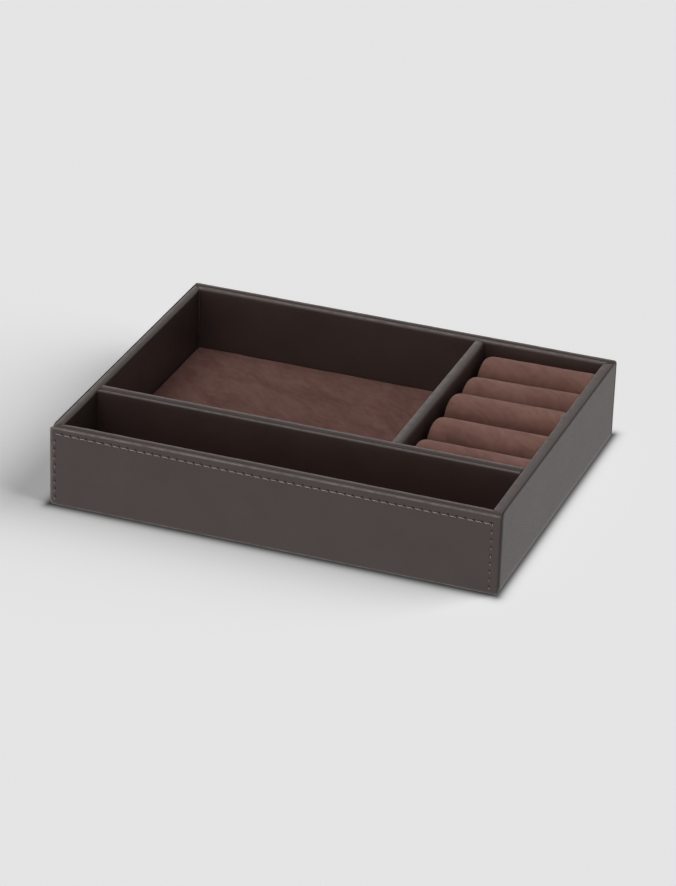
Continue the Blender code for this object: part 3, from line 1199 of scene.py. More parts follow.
@dataclass
class FoldedCover:
    """A sheet over a flat board: rounded corners, rounded folds and a turned-in back.

    sides holds for the two edges that lie along the board, and ends, where given, for its first
    and its last end. Past the face the grid's lines are counted in stages: 0 to 1 is flat, 1 to 2
    the fold, 2 to 3 the side, 3 to 4 the turn at the back, and 5 the turned-in edge. The polish
    from wear and the painted highlight along the folds are strongest at glow_stage.
    """

    node: str
    facing: Facing
    sides: CoverEdge
    sheet: float
    ends: tuple[CoverEdge, CoverEdge] | None = None
    rear: float = 0.5 * MM
    step: float = 3.0 * MM
    fine_along: Spacing | None = None
    fine_across: Spacing | None = None
    relief: Relief | None = None
    fold_steps: int = 6
    turn_steps: int = 3
    glow: float = 1.0
    glow_stage: float = 1.5
    glow_width: float = 0.5
    seam_shade_stages: tuple[float, float] = (1.2, 1.7)
    turned_in: float = 1.0 * MM
    least_side: float = 0.05 * MM

    def __post_init__(self) -> None:
        """Fills in the ends and reads the board."""
        self.ends = self.ends or (self.sides, self.sides)
        self.board = Board.of_node(self.node, self.facing)

    def out(self, stage: float, corner: float, reach: float, rear: float) -> float:
        """Works out how far past the flat face's edge the section lies.

        Args:
            stage: the stage, without its sign.
            corner: how far the corners reach.
            reach: how far over the face the fold begins.
            rear: how far the turn reaches.

        Returns:
            How far it lies past that edge.
        """
        if stage <= 1:
            return (corner - reach) * stage
        if stage <= 2:
            return corner - reach * (1 - math.sin((stage - 1) * math.pi / 2))
        turn = clamp(stage - 3, 0, 1) * math.pi / 2
        return corner - rear * (1 - math.cos(turn)) - max(stage - 4, 0) * self.turned_in

    def back(self, stage: float, fold: float, rear: float, deep: float) -> float:
        """Works out how far behind the face the section lies.

        Args:
            stage: the stage, without its sign.
            fold: how deep the fold goes.
            rear: how far the turn reaches.
            deep: the board's depth.

        Returns:
            How far it lies behind the face.
        """
        if stage <= 2:
            return fold * (1 - math.cos(max(stage - 1, 0) * math.pi / 2))
        if stage <= 3:
            return fold + (deep - fold - rear) * (stage - 2)
        return deep - rear * (1 - math.sin(min(stage - 3, 1) * math.pi / 2))

    def lines(self, first: float, last: float, fine: Spacing | None) -> list[Line]:
        """Works out the grid's lines in one direction.

        Args:
            first: where the flat face begins.
            last: where it ends.
            fine: gives the lines between them, where they aren't evenly spaced.

        Returns:
            (place of the line, or of the last flat line before it; signed stage).
        """
        folding = spaced(1, 2, 1 / self.fold_steps)
        turning = spaced(3, 4, 1 / self.turn_steps)
        stages = joined_runs([0.5], folding, [2.5], turning, [5])
        middle = fine(first, last) if fine else spaced(first, last, self.step)
        return [
            *((first, -stage) for stage in reversed(stages)),
            *((place, 0.0) for place in middle),
            *((last, stage) for stage in stages),
        ]

    def spot(self, line_along: Line, line_across: Line) -> tuple[Vector, float, float]:
        """Works out one point of the grid.

        Args:
            line_along: the place and the signed stage of its line along the board.
            line_across: the same across the board.

        Returns:
            (its place, its mask of polish from wear and painted highlight, its mask of painted
            shade).
        """
        stage = max(abs(line_along[1]), abs(line_across[1]))
        over = Vector((line_along[1], line_across[1])).normalized()
        end = self.ends[0 if line_along[1] < 0 else 1]
        sides, deep = self.sides, self.board.deep
        fold = sides.fold + (end.fold - sides.fold) * over.x**2
        rear = min(self.rear, deep - fold - self.least_side)
        along = line_along[0] + over.x * self.out(stage, end.corner, end.over_face(), rear)
        across = line_across[0] + over.y * self.out(stage, sides.corner, sides.over_face(), rear)
        lift, hole = (0.0, 0.0)
        if self.relief and stage < 2:
            lift, hole = self.relief(along, across)
        place = self.board.point(along, across, self.back(stage, fold, rear, deep) - lift)
        # Shade is painted on an end's fold where it meets the next cover.
        seam_shade = end.seam_shade * over.x**4 * smooth_step(stage, *self.seam_shade_stages)
        # Polish from wear and a painted highlight along the fold, weaker at an end that keeps less
        # of it.
        glow = self.glow * bell(stage - self.glow_stage, self.glow_width)
        return place, glow * (1 - (1 - end.glow) * over.x**2), max(hole, seam_shade)

    def lay(self, shop: Workshop, material: bpy.types.Material,
            waves: Waves | None = None) -> bpy.types.Object:
        """Makes the cover and hands it over in place of its node.

        Args:
            shop: the workshop.
            material: the cover's finish.
            waves: the cover's unevenness, where it has one.

        Returns:
            The cover.
        """
        start, stop = (self.board.along / 2 - end.corner for end in self.ends)
        side = self.board.across / 2 - self.sides.corner
        across_lines = self.lines(-side, side, self.fine_across)
        spots = [
            [self.spot(line_along, line_across) for line_across in across_lines]
            for line_along in self.lines(-start, stop, self.fine_along)
        ]
        points, edges, holes = (
            [[spot[part] for spot in row] for row in spots] for part in range(3)
        )
        masks = {Mask.EDGE: edges, Mask.HOLE: holes}
        piece = Skin(self.node + "_dressed", points, masks).build(self.sheet)
        if waves:
            waves.ripple(piece)
        return shop.hand_over(piece, material, [self.node])


# The stitched front panel

@dataclass(frozen=True)
class StitchForm:
    """One stitch, measured from its crest along its run and to the side of it.

    The thread comes out of the leather, crests, and dives in again as a thinner tail. slope tilts
    it at its crest and tail bends its end aside. The needle's pit lies apart from the crest.
    """

    start: float
    stop: float
    pit: tuple[float, float]
    rise: float
    before: float
    after: float
    thick: float
    thin: float
    slope: float = 0.0
    tail: float = 0.0
    sink: float = 0.25 * MM
    tail_start: float = 0.2

    def side(self, along: float) -> float:
        """Returns how far to the side the thread lies, at that distance past its crest."""
        level = self.slope * along * bell(along, self.before)
        return level - self.tail * smooth_step(along, self.tail_start * self.stop, self.stop)

    def lift(self, along: float) -> float:
        """Returns how far over the leather the thread's middle lies."""
        width = self.before if along < 0 else self.after
        return (self.rise + self.sink) * bell(along, width) - self.sink

    def radius(self, along: float) -> float:
        """Returns how thick the thread is, from its middle."""
        return self.thin + (self.thick - self.thin) * bell(along, self.before)


@dataclass
class StitchRun:
    """A run of stitches over the front panel: its crests, in (along, height), and its way."""

    crests: list[tuple[float, float]]
    way: Vector
    form: StitchForm

    def place(self, crest: tuple[float, float], along: float, side: float) -> Vector:
        """Returns the place at those distances from a crest."""
        across = Vector((-self.way.y, self.way.x))
        return Vector(crest) + self.way * along + across * side

    def pits(self) -> list[Vector]:
        """Returns the needle's pits."""
        return [self.place(crest, *self.form.pit) for crest in self.crests]


@dataclass
class FrontPanel:
    """The front panel's leather with its stitched row and two stitched columns.

    The row is sewn by hand: it keeps a steady distance from the rim over most of its length and
    climbs towards the rim at the left end. Distances along are from the panel's middle, and
    heights from the table.
    """

    node: str = "front_panel_leather"
    row_drop: float = 5.5 * MM
    row_climb: float = 1.8 * MM
    row_climb_start: float = -10 * MM
    row_climb_length: float = 120 * MM
    row_climb_power: float = 1.2
    row_left: float = -134.2 * MM
    row_right: float = 132.0 * MM
    row_pitch: float = 5.22 * MM
    left_column: float = -136.8 * MM
    left_top: float = 41.2 * MM
    left_foot: float = 4.1 * MM
    right_column: float = 135.2 * MM
    right_top: float = 44.8 * MM
    right_foot: float = 3.9 * MM
    column_pitch: float = 5.2 * MM
    pit_size: float = 0.62 * MM
    pit_depth: float = 0.55 * MM
    channel_width: float = 0.9 * MM
    channel_depth: float = 0.12 * MM
    thread_sides: int = 8
    thread_steps: int = 14
    hand_seed: int = 7
    jitter_along: float = 0.22 * MM
    jitter_up: float = 0.11 * MM
    row_margin: float = 1.4 * MM
    step_along: float = 0.36 * MM
    step_below: float = 0.55 * MM
    step_row: float = 0.25 * MM
    step_above: float = 0.5 * MM
    sides: CoverEdge = CoverEdge(1.6 * MM, 0.7 * MM)
    # The left end keeps half the painted highlight on its fold; the right end has none, and shade
    # is painted on it where it meets the right side skin.
    left_end: CoverEdge = CoverEdge(2.8 * MM, 1.6 * MM, reach=2.6 * MM, glow=0.5)
    right_end: CoverEdge = CoverEdge(0.9 * MM, 0.6 * MM, seam_shade=0.70, glow=0.0)
    sheet: float = 0.5 * MM
    rear: float = 1.4 * MM
    waves: Waves = Waves(height=0.07 * MM, length=22 * MM, seed=21)
    row_form: StitchForm = StitchForm(
        start=-1.8 * MM, stop=2.7 * MM, pit=(2.4 * MM, 0.5 * MM), rise=0.22 * MM,
        before=1.15 * MM, after=1.6 * MM, thick=0.32 * MM, thin=0.14 * MM, slope=0.24,
        tail=0.75 * MM,
    )
    left_form: StitchForm = StitchForm(
        start=-0.9 * MM, stop=0.9 * MM, pit=(-1.7 * MM, 0.5 * MM), rise=-0.04 * MM,
        before=0.7 * MM, after=0.7 * MM, thick=0.22 * MM, thin=0.13 * MM,
    )
    right_form: StitchForm = StitchForm(
        start=-0.8 * MM, stop=0.8 * MM, pit=(-1.15 * MM, 0.0), rise=-0.08 * MM,
        before=0.6 * MM, after=0.6 * MM, thick=0.21 * MM, thin=0.13 * MM,
    )

    def __post_init__(self) -> None:
        """Reads how high the panel reaches."""
        self.low, self.top = (corner.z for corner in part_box(self.node))
        self.middle = (self.low + self.top) / 2

    def row_height(self, along: float) -> float:
        """Returns the row's height over the table at that place along the panel."""
        share = max(self.row_climb_start - along, 0.0) / self.row_climb_length
        return self.top - self.row_drop + self.row_climb * share**self.row_climb_power

    def runs(self) -> list[StitchRun]:
        """Places the stitches one by one, a little off their marks.

        Returns:
            The row, the left column and the right column.
        """
        hand = random.Random(self.hand_seed)

        def near(along: float, height: float) -> tuple[float, float]:
            """Sets a crest a little off its mark, as a hand does.

            Args:
                along: its place along the panel.
                height: its height over the table.

            Returns:
                The crest.
            """
            return (
                along + hand.uniform(-self.jitter_along, self.jitter_along),
                height + hand.uniform(-self.jitter_up, self.jitter_up),
            )

        row = spaced(self.row_left, self.row_right, self.row_pitch)
        left = spaced(self.left_top, self.left_foot, self.column_pitch)
        right = spaced(self.right_top, self.right_foot, self.column_pitch)
        downward = Vector((0, -1))
        crests = [near(along, self.row_height(along)) for along in row]
        return [
            StitchRun(crests, Vector((1, 0)), self.row_form),
            StitchRun([near(self.left_column, at) for at in left], downward, self.left_form),
            StitchRun([near(self.right_column, at) for at in right], downward, self.right_form),
        ]

    def relief(self, runs: list[StitchRun]) -> Relief:
        """Returns the function that says how the stitching dents the leather and paints shade in
        its pits.

        Args:
            runs: the stitching.

        Returns:
            A function of a place on the face: (how far it stands out, how much shade is painted
                there).
        """
        cells: dict[tuple[int, int], list[Vector]] = {}
        for pit in (pit for run in runs for pit in run.pits()):
            for column in (-1, 0, 1):
                for row in (-1, 0, 1):
                    cell = (self.cell(pit.x) + column, self.cell(pit.y) + row)
                    cells.setdefault(cell, []).append(pit)
        columns = (self.left_column, self.right_column)

        def shape(along: float, across: float) -> tuple[float, float]:
            """Works out what the stitching does to the leather at one place.

            Args:
                along: the place along the panel.
                across: the place across it.

            Returns:
                (How far it stands out there, how much shade a pit paints there).
            """
            height = across + self.middle
            inside = columns[0] - self.pit_size < along < columns[1] + self.pit_size
            lift = 0.0
            if inside and height < self.row_height(along) + 2 * self.channel_width:
                off = min(
                    abs(height - self.row_height(along)), *(abs(along - at) for at in columns)
                )
                lift = -self.channel_depth * bell(off, self.channel_width)
            dark = 0.0
            for pit in cells.get((self.cell(along), self.cell(height)), ()):
                near = bell(math.dist((along, height), pit), self.pit_size)
                lift = min(lift, -self.pit_depth * near)
                dark = max(dark, near)
            return lift, dark

        return shape

    def cell(self, value: float) -> int:
        """Returns which cell of a coarse grid a place falls into, for finding the pits near it."""
        return math.floor(value / (3 * self.pit_size))

    def fine_across(self, first: float, last: float) -> list[float]:
        """Spaces the grid's lines across the panel, close together along the row.

        Args:
            first: the lowest line.
            last: the highest line.

        Returns:
            The lines.
        """
        row_top = self.row_height(self.row_left) - self.middle + self.row_margin
        row_foot = self.row_height(0) - self.middle - self.row_margin
        return joined_runs(
            spaced(first, row_foot, self.step_below),
            spaced(row_foot, row_top, self.step_row),
            spaced(row_top, last, self.step_above),
        )

    def fine_along(self, first: float, last: float) -> list[float]:
        """Returns lines close enough for the pits."""
        return spaced(first, last, self.step_along)

    def build(self, shop: Workshop) -> None:
        """Makes the leather, then the thread through its pits.

        Args:
            shop: the workshop.
        """
        runs = self.runs()
        cover = FoldedCover(
            self.node, Facing.FRONT, self.sides, self.sheet, ends=(self.left_end, self.right_end),
            rear=self.rear, fine_along=self.fine_along, fine_across=self.fine_across,
            relief=self.relief(runs),
        )
        cover.lay(shop, shop.leather, self.waves)
        self.build_thread(shop, runs)

    def build_thread(self, shop: Workshop, runs: list[StitchRun]) -> None:
        """Makes each stitch as a short tube that comes out of the leather and dives in again.

        Args:
            shop: the workshop.
            runs: the stitching.
        """
        front = Board.of_node(self.node, Facing.FRONT)
        corners: list[Vector] = []
        faces: list[tuple[int, ...]] = []
        for run in runs:
            form = run.form
            steps = spaced(form.start, form.stop, (form.stop - form.start) / self.thread_steps)
            radii = [form.radius(along) for along in steps]
            for crest in run.crests:
                path = []
                for along in steps:
                    at = run.place(crest, along, form.side(along))
                    path.append(front.point(at.x, at.y - self.middle, -form.lift(along)))
                self.add_tube(corners, faces, path, radii)
        piece = add_mesh("front_stitching", corners, faces)
        shop.hand_over(piece, shop.thread)

    def add_tube(self, corners: list[Vector], faces: list[tuple[int, ...]], path: list[Vector],
                 radii: list[float]) -> None:
        """Adds a tube with closed ends along path.

        Args:
            corners: the points so far.
            faces: the faces so far.
            path: the tube's middle line.
            radii: the tube's radius at each of its points.
        """
        first = len(corners)
        outward = Vector(Facing.FRONT.value[2])
        last = len(path) - 1
        for index, (point, radius) in enumerate(zip(path, radii)):
            ahead = (path[min(index + 1, last)] - path[max(index - 1, 0)]).normalized()
            side = ahead.cross(outward).normalized()
            up = side.cross(ahead)
            for corner in range(self.thread_sides):
                turn = 2 * math.pi * corner / self.thread_sides
                corners.append(point + (side * math.cos(turn) + up * math.sin(turn)) * radius)
        for ring in range(last):
            for corner in range(self.thread_sides):
                here = first + ring * self.thread_sides
                after = (corner + 1) % self.thread_sides
                faces.append((
                    here + corner,
                    here + after,
                    here + self.thread_sides + after,
                    here + self.thread_sides + corner,
                ))
        faces.append(tuple(reversed(range(first, first + self.thread_sides))))
        end = first + last * self.thread_sides
        faces.append(tuple(range(end, end + self.thread_sides)))


@dataclass(frozen=True)
class Coverings:
    """The plain covers: back panel, side skins, pads and base cloth, with their edges."""

    panel_side: CoverEdge = CoverEdge(1.6 * MM, 0.7 * MM)
    panel_end: CoverEdge = CoverEdge(1.8 * MM, 1.6 * MM)
    panel_sheet: float = 0.5 * MM
    skin_side: CoverEdge = CoverEdge(3.8 * MM, 0.5 * MM, reach=3.4 * MM)
    # The side skins' front ends have shade painted where they meet the front panel.
    skin_front: CoverEdge = CoverEdge(6.2 * MM, 0.5 * MM, seam_shade=0.75, reach=6.0 * MM)
    skin_rear: CoverEdge = CoverEdge(0.6 * MM, 0.5 * MM)
    skin_sheet: float = 0.15 * MM
    pad_edge: CoverEdge = CoverEdge(1.8 * MM, 1.2 * MM)
    pad_sheet: float = 0.6 * MM
    cloth_edge: CoverEdge = CoverEdge(1.0 * MM, 0.4 * MM)
    cloth_sheet: float = 0.3 * MM

    def build(self, shop: Workshop) -> None:
        """Builds each cover, with its own folds and unevenness.

        Args:
            shop: the workshop.
        """
        FoldedCover(
            "back_panel_leather", Facing.BACK, self.panel_side, self.panel_sheet,
            ends=(self.panel_end, self.panel_end), rear=0.9 * MM, glow_stage=2.0, glow_width=0.9,
        ).lay(shop, shop.leather, Waves(0.08 * MM, 20 * MM, 31))
        skins = (
            ("left_side_leather", Facing.LEFT, (self.skin_rear, self.skin_front)),
            ("right_side_leather", Facing.RIGHT, (self.skin_front, self.skin_rear)),
        )
        for seed, (node, facing, ends) in enumerate(skins, 41):
            FoldedCover(
                node, facing, self.skin_side, self.skin_sheet, ends=ends, rear=0.05 * MM,
                turned_in=0.2 * MM, glow=0.2,
            ).lay(shop, shop.leather, Waves(0.06 * MM, 25 * MM, seed))
        for seed, node in enumerate(("trough_pad_suede", "main_pad_suede"), 51):
            pad = FoldedCover(
                node, Facing.UP, self.pad_edge, self.pad_sheet, step=2.0 * MM
            ).lay(shop, shop.suede, Waves(0.22 * MM, 18 * MM, seed))
        FoldedCover(
            "base_cover", Facing.DOWN, self.cloth_edge, self.cloth_sheet, rear=0.3 * MM,
            turned_in=0.5 * MM,
        ).lay(shop, shop.base_cloth)


# Ring rolls

@dataclass(frozen=True)
class EndCrease:
    """A crease near a roll's right end, where the suede is tucked against the wall."""

    roll: int
    from_end: float
    width: float
    depth: float
    turn_deg: float
    spread_deg: float


@dataclass
class RingRolls:
    """Five suede rolls: each foam bar's form, filled out by cloth simulation."""

    count: int = 5
    over_foam: float = 1.0 * MM
    voxel: float = 1.6 * MM
    evening: float = 0.5
    pressure: float = 12.0
    cloth_mass: float = 0.05
    swell: float = 0.45 * MM
    side_gap: float = 0.12 * MM
    right_end: float = 1.5 * MM
    foot_pin: float = 3.0 * MM
    last_frame: int = 16
    wave_height: float = 0.18 * MM
    wave_length: float = 11 * MM
    # Turns from the top towards the front over which a roll's painted highlight gives way to
    # painted shade.
    painted_shade_turn_deg: tuple[float, float] = (-30, 62)
    creases: tuple[EndCrease, ...] = (
        EndCrease(3, 2.2 * MM, 0.9 * MM, 0.65 * MM, 12, 32),
        EndCrease(4, 2.6 * MM, 0.9 * MM, 0.65 * MM, 10, 30),
    )

    def build(self, shop: Workshop) -> None:
        """Builds the rolls from the front one to the back one.

        Args:
            shop: the workshop.
        """
        pieces = [self.form(number) for number in range(1, self.count + 1)]
        self.fill_out(pieces)
        for number, piece in enumerate(pieces, 1):
            node = f"ring_roll_suede_{number}"
            self.hold(piece, node)
            for crease in self.creases:
                if crease.roll == number:
                    self.press(piece, node, crease)
            self.mark_painted_shade(piece, node)
            smooth = piece.modifiers.new("smooth", "SUBSURF")
            smooth.levels = 1
            smooth.render_levels = 1
            Waves(self.wave_height, self.wave_length, 60 + number).ripple(piece)
            piece.data.shade_smooth()
            shop.hand_over(piece, shop.roll_suede, [node])

    def form(self, number: int) -> bpy.types.Object:
        """Makes the form of the suede before it is filled out, as an even mesh.

        Args:
            number: which roll, counted from the front.

        Returns:
            The form.
        """
        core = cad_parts[f"ring_roll_core_{number}"]
        piece = add_object(f"ring_roll_suede_{number}_dressed", core.data.copy())
        right = max(vertex.co.x for vertex in piece.data.vertices)
        for vertex in piece.data.vertices:
            if vertex.co.x > right - self.voxel:
                vertex.co.x += self.right_end
        bar = piece.modifiers.new("bar", "REMESH")
        bar.mode = "VOXEL"
        bar.voxel_size = self.voxel
        over = piece.modifiers.new("over_foam", "DISPLACE")
        over.mid_level = 0.0
        over.strength = self.over_foam
        even = piece.modifiers.new("even", "SMOOTH")
        even.factor = self.evening
        even.iterations = 1
        return self.with_modifiers_applied(piece)

    @staticmethod
    def with_modifiers_applied(piece: bpy.types.Object) -> bpy.types.Object:
        """Gives a piece the mesh that its modifiers make, and takes them off.

        Args:
            piece: the piece.

        Returns:
            The same piece.
        """
        bpy.context.view_layer.update()
        evaluated = piece.evaluated_get(bpy.context.evaluated_depsgraph_get())
        piece.data = bpy.data.meshes.new_from_object(evaluated)
        piece.modifiers.clear()
        return piece

    def fill_out(self, pieces: list[bpy.types.Object]) -> None:
        """Swells the forms under cloth pressure, within the space that each suede has.

        Args:
            pieces: the forms.
        """
        forms = [[vertex.co.copy() for vertex in piece.data.vertices] for piece in pieces]
        for piece, form in zip(pieces, forms):
            low = min(at.z for at in form)
            pinned = [index for index, at in enumerate(form) if at.z < low + self.foot_pin]
            foot = piece.vertex_groups.new(name="glued_foot")
            foot.add(pinned, 1.0, "REPLACE")
            cloth = piece.modifiers.new("pressure", "CLOTH")
            cloth.settings.mass = self.cloth_mass
            cloth.settings.use_pressure = True
            cloth.settings.uniform_pressure_force = self.pressure
            cloth.settings.vertex_group_mass = foot.name
            cloth.settings.effector_weights.gravity = 0.0
            cloth.point_cache.frame_start = 1
            cloth.point_cache.frame_end = self.last_frame
        scene = bpy.context.scene
        for number in range(1, self.last_frame + 1):
            scene.frame_set(number)
        for piece, form in zip(pieces, forms):
            self.with_modifiers_applied(piece)
            self.settle(piece, form)
        scene.frame_set(1)

    def settle(self, piece: bpy.types.Object, form: list[Vector]) -> None:
        """Scales what the pressure did to the swell that the suede has.

        Args:
            piece: the cloth as the pressure left it.
            form: its points before that.
        """
        steps = [vertex.co - start for vertex, start in zip(piece.data.vertices, form)]
        moved = max(step.length for step in steps)
        share = self.swell / max(moved, TINY)
        for vertex, start, step in zip(piece.data.vertices, form, steps):
            vertex.co = start + step * share
        log.info("%s: pressure moved it by up to %.2f mm", piece.name, moved / MM)

    def hold(self, piece: bpy.types.Object, node: str) -> None:
        """Keeps a roll within its packed suede's box, and a little past it at both sides.

        Args:
            piece: the roll's suede.
            node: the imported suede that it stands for.
        """
        low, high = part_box(node)
        for vertex in piece.data.vertices:
            vertex.co.x = clamp(vertex.co.x, low.x, high.x)
            vertex.co.y = clamp(vertex.co.y, low.y - self.side_gap, high.y + self.side_gap)
            vertex.co.z = clamp(vertex.co.z, low.z, high.z)

    @staticmethod
    def around(piece: bpy.types.Object, node: str) -> list[tuple[Vector, float]]:
        """Works out how each point lies round the line that a roll's top is round about.

        Args:
            piece: the roll's suede.
            node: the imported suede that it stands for.

        Returns:
            (the way from that line to the point, its turn from the top to the front in degrees).
        """
        low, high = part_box(node)
        middle_y = (low.y + high.y) / 2
        middle_z = high.z - (high.y - low.y) / 2
        lying = []
        for vertex in piece.data.vertices:
            away = Vector((0, vertex.co.y - middle_y, vertex.co.z - middle_z))
            lying.append((away, math.degrees(math.atan2(-away.y, away.z))))
        return lying

    def mark_painted_shade(self, piece: bpy.types.Object, node: str) -> None:
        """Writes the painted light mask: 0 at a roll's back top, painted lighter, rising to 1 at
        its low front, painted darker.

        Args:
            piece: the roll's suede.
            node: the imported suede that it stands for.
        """
        back, front = self.painted_shade_turn_deg
        turns = [turn for _, turn in self.around(piece, node)]
        write_mask(
            piece, Mask.FRONT, [clamp((turn - back) / (front - back), 0.0, 1.0) for turn in turns]
        )

    def press(self, piece: bpy.types.Object, node: str, crease: EndCrease) -> None:
        """Presses a crease into a roll's right end.

        Args:
            piece: the roll's suede.
            node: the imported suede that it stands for.
            crease: the crease.
        """
        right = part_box(node)[1].x
        for vertex, (away, turn) in zip(piece.data.vertices, self.around(piece, node)):
            share = bell(right - vertex.co.x - crease.from_end, crease.width)
            share *= bell(turn - crease.turn_deg, crease.spread_deg)
            vertex.co -= away.normalized() * crease.depth * share


# Inner pieces that stay as packed

def dress_inner_pieces(shop: Workshop) -> None:
    """Gives the boards, cards and foam bars their finishes.

    Args:
        shop: the workshop.
    """
    for node in sorted(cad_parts):
        if node == "ring_bed_card":
            shop.dress_node(node, shop.dark_card)
        elif node.endswith(("_board", "_card")):
            shop.dress_node(node, shop.board)
        elif "_core_" in node:
            shop.dress_node(node, shop.foam)


# Studio

@dataclass(frozen=True)
class PictureCamera:
    """A long lens at the photograph's viewing angle, in metres and in degrees from -Y."""

    azimuth: float = 19.642
    elevation: float = 26.652
    roll: float = 2.037
    distance: float = 2.434767
    target: Colour = (-0.003715, 0.010724, 0.011634)
    focal_pixels: float = 4006.56
    picture_height: int = 886
    sensor: float = 36.0

    def build(self) -> None:
        """Makes the camera and hands it to the scene."""
        roll = math.radians(self.roll)
        back = direction(self.azimuth - 90, self.elevation)
        level = Vector((0, 0, 1)).cross(back).normalized()
        upward = back.cross(level)
        right = level * math.cos(roll) + upward * math.sin(roll)
        top = upward * math.cos(roll) - level * math.sin(roll)
        lens = bpy.data.cameras.new("picture_camera")
        lens.sensor_width = self.sensor
        lens.lens = self.focal_pixels * self.sensor / self.picture_height
        lens.clip_start = 0.1
        lens.clip_end = 50.0
        camera = add_object("picture_camera", lens)
        place = Matrix.Translation(Vector(self.target) + back * self.distance)
        camera.matrix_world = place @ Matrix((right, top, back)).transposed().to_4x4()
        bpy.context.scene.camera = camera


@dataclass(frozen=True)
class SoftLamp:
    """A large soft source far away, at those degrees round from +X and up.

    share is what it gives a white sheet that faces it. It lights either the floor alone or all
    but the floor, and no reflection shows it.
    """

    name: str
    azimuth: float
    elevation: float
    width: float
    share: float
    on_floor: bool = False

    def build(self, floor: bpy.types.Object) -> None:
        """Makes the lamp.

        Args:
            floor: the floor.
        """
        light = bpy.data.lights.new(self.name, "SUN")
        light.energy = math.pi * self.share
        light.angle = math.radians(self.width)
        lamp = add_object(self.name, light)
        towards = direction(self.azimuth, self.elevation)
        lamp.rotation_euler = towards.to_track_quat("Z", "Y").to_euler()
        lamp.visible_glossy = False
        lit = bpy.data.collections.new(self.name + "_lights")
        lit.objects.link(floor)
        lamp.light_linking.receiver_collection = lit
        if not self.on_floor:
            lit.collection_objects[0].light_linking.link_state = "EXCLUDE"


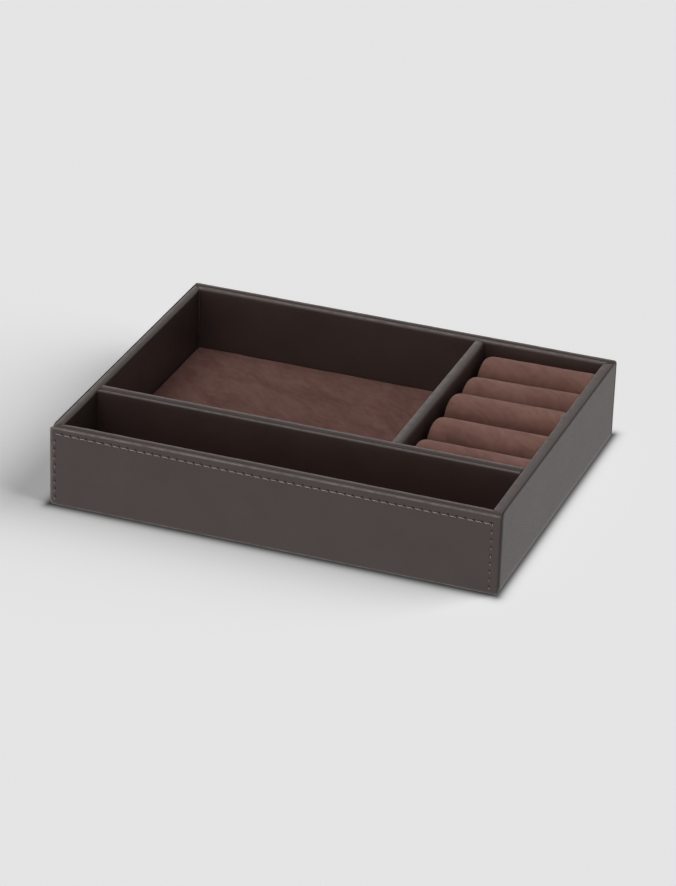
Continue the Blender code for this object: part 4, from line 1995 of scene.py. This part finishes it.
@dataclass
class Studio:
    """A pale floor under a pale surround, with soft light on the tray and one soft shadow.

    The surround is as pale as horizon up to the first part of ceiling_rise and falls to ceiling
    at the second, both as the upward part of a direction. shadowed_share is how much of the
    floor's own light casts the shadow. painted_shadow_dark, painted_shadow_reach (to the right and
    to the back) and painted_shadow_power shape a painted contact shadow: the floor's colour
    darkens close to the foot, for the camera only.
    """

    pale: float = 0.776
    horizon: float = 0.81
    ceiling: float = 0.50
    ceiling_rise: tuple[float, float] = (0.50, 0.85)
    shadowed_share: float = 0.58
    floor_reach: float = 6.0
    # A painted contact shadow on the floor, which only the camera sees.
    painted_shadow_dark: float = 0.88
    painted_shadow_reach: tuple[float, float] = (3.7 * MM, 4.7 * MM)
    painted_shadow_power: float = 1.6
    lamps: tuple[SoftLamp, ...] = (
        SoftLamp("dome", azimuth=0, elevation=90, width=180, share=0.055),
        SoftLamp("overhead_softbox", azimuth=-130, elevation=77, width=60, share=0.58),
        SoftLamp("front_softbox", azimuth=-98, elevation=16, width=60, share=0.335),
        SoftLamp("shadow_lamp", azimuth=16, elevation=33, width=62, share=1.075, on_floor=True),
    )

    def build(self) -> None:
        """Makes the floor, the lamps, the surround and the camera."""
        scene = bpy.context.scene
        scene.view_settings.view_transform = "Standard"
        floor = self.floor()
        for lamp in self.lamps:
            lamp.build(floor)
        self.surround(scene)
        PictureCamera().build()

    def floor(self) -> bpy.types.Object:
        """Makes the floor.

        To the camera it glows by the share of its light that casts no shadow. Its light on the
        tray is even, as if the shadow weren't there.

        Returns:
            The floor.
        """
        material, wiring, shader = start_material(
            "pale_floor", Roughness=1.0, Specular_IOR_Level=0.0, Emission_Strength=1.0
        )
        seen = wiring.add("ShaderNodeLightPath").outputs["Is Camera Ray"]
        level = self.painted_shadow_level(wiring, seen)
        glow = wiring.math("MULTIPLY_ADD", seen, -self.shadowed_share, 1.0)
        for socket, share in (("Base Color", seen), ("Emission Color", glow)):
            wiring.feed(shader.inputs[socket], wiring.grey(wiring.math("MULTIPLY", level, share)))
        span = self.floor_reach
        corners = [(-span, -span, 0), (span, -span, 0), (span, span, 0), (-span, span, 0)]
        floor = add_mesh("floor", corners, [(0, 1, 2, 3)])
        floor.data.materials.append(material)
        return floor

    def painted_shadow_level(self, wiring: Wiring, seen: bpy.types.NodeSocket) -> bpy.types.NodeSocket:
        """Works out the floor's paleness, with a painted contact shadow close to the foot that
        only the camera sees.

        Args:
            wiring: the floor's nodes.
            seen: 1 where the camera looks.

        Returns:
            The paleness.
        """
        low, high = CAD_BOX
        place = wiring.add("ShaderNodeSeparateXYZ", {0: wiring.place()}).outputs
        squares = []
        for axis in (0, 1):
            middle = (low[axis] + high[axis]) / 2
            offset = wiring.math("ABSOLUTE", wiring.math("SUBTRACT", place[axis], middle))
            beyond = wiring.math("SUBTRACT", offset, high[axis] - middle)
            reaches = wiring.math("DIVIDE", beyond, self.painted_shadow_reach[axis])
            squares.append(wiring.math("POWER", wiring.math("MAXIMUM", reaches, 0.0), 2.0))
        away = wiring.math("POWER", wiring.math("ADD", *squares), self.painted_shadow_power / 2)
        # Painted contact shadow, for camera rays only.
        fading = wiring.math("EXPONENT", wiring.math("MULTIPLY", away, -1.0))
        shade = wiring.math("MULTIPLY", fading, seen)
        return wiring.math("MULTIPLY_ADD", shade, -self.painted_shadow_dark * self.pale, self.pale)

    def surround(self, scene: bpy.types.Scene) -> None:
        """Makes the world pale to the camera and in reflections, and dark to diffuse light.

        High up, where the room's ceiling is, reflections are darker.

        Args:
            scene: the scene that the world surrounds.
        """
        world = bpy.data.worlds.new("pale_surround")
        world.use_nodes = True
        scene.world = world
        wiring = Wiring(world.node_tree)
        seen = wiring.add("ShaderNodeLightPath").outputs
        mirrored = wiring.math("MAXIMUM", seen["Is Glossy Ray"], seen["Is Transmission Ray"])
        shown = wiring.math("MAXIMUM", seen["Is Camera Ray"], mirrored)
        direction = wiring.add("ShaderNodeTexCoord").outputs["Generated"]
        upward = wiring.add("ShaderNodeSeparateXYZ", {0: direction}).outputs["Z"]
        level = wiring.remap(upward, *self.ceiling_rise, self.horizon, self.ceiling)
        background = world.node_tree.nodes["Background"]
        wiring.feed(background.inputs["Color"], wiring.grey(level))
        wiring.feed(background.inputs["Strength"], shown)


def main() -> None:
    """Builds the studio and every sub-assembly in order."""
    logging.basicConfig(level=logging.INFO, format="%(name)s: %(message)s")
    Studio().build()
    shop = Workshop(Effects())
    RingRolls().build(shop)
    WrappedWalls().build(shop)
    FrontPanel().build(shop)
    Coverings().build(shop)
    dress_inner_pieces(shop)


if __name__ == "__main__":
    main()
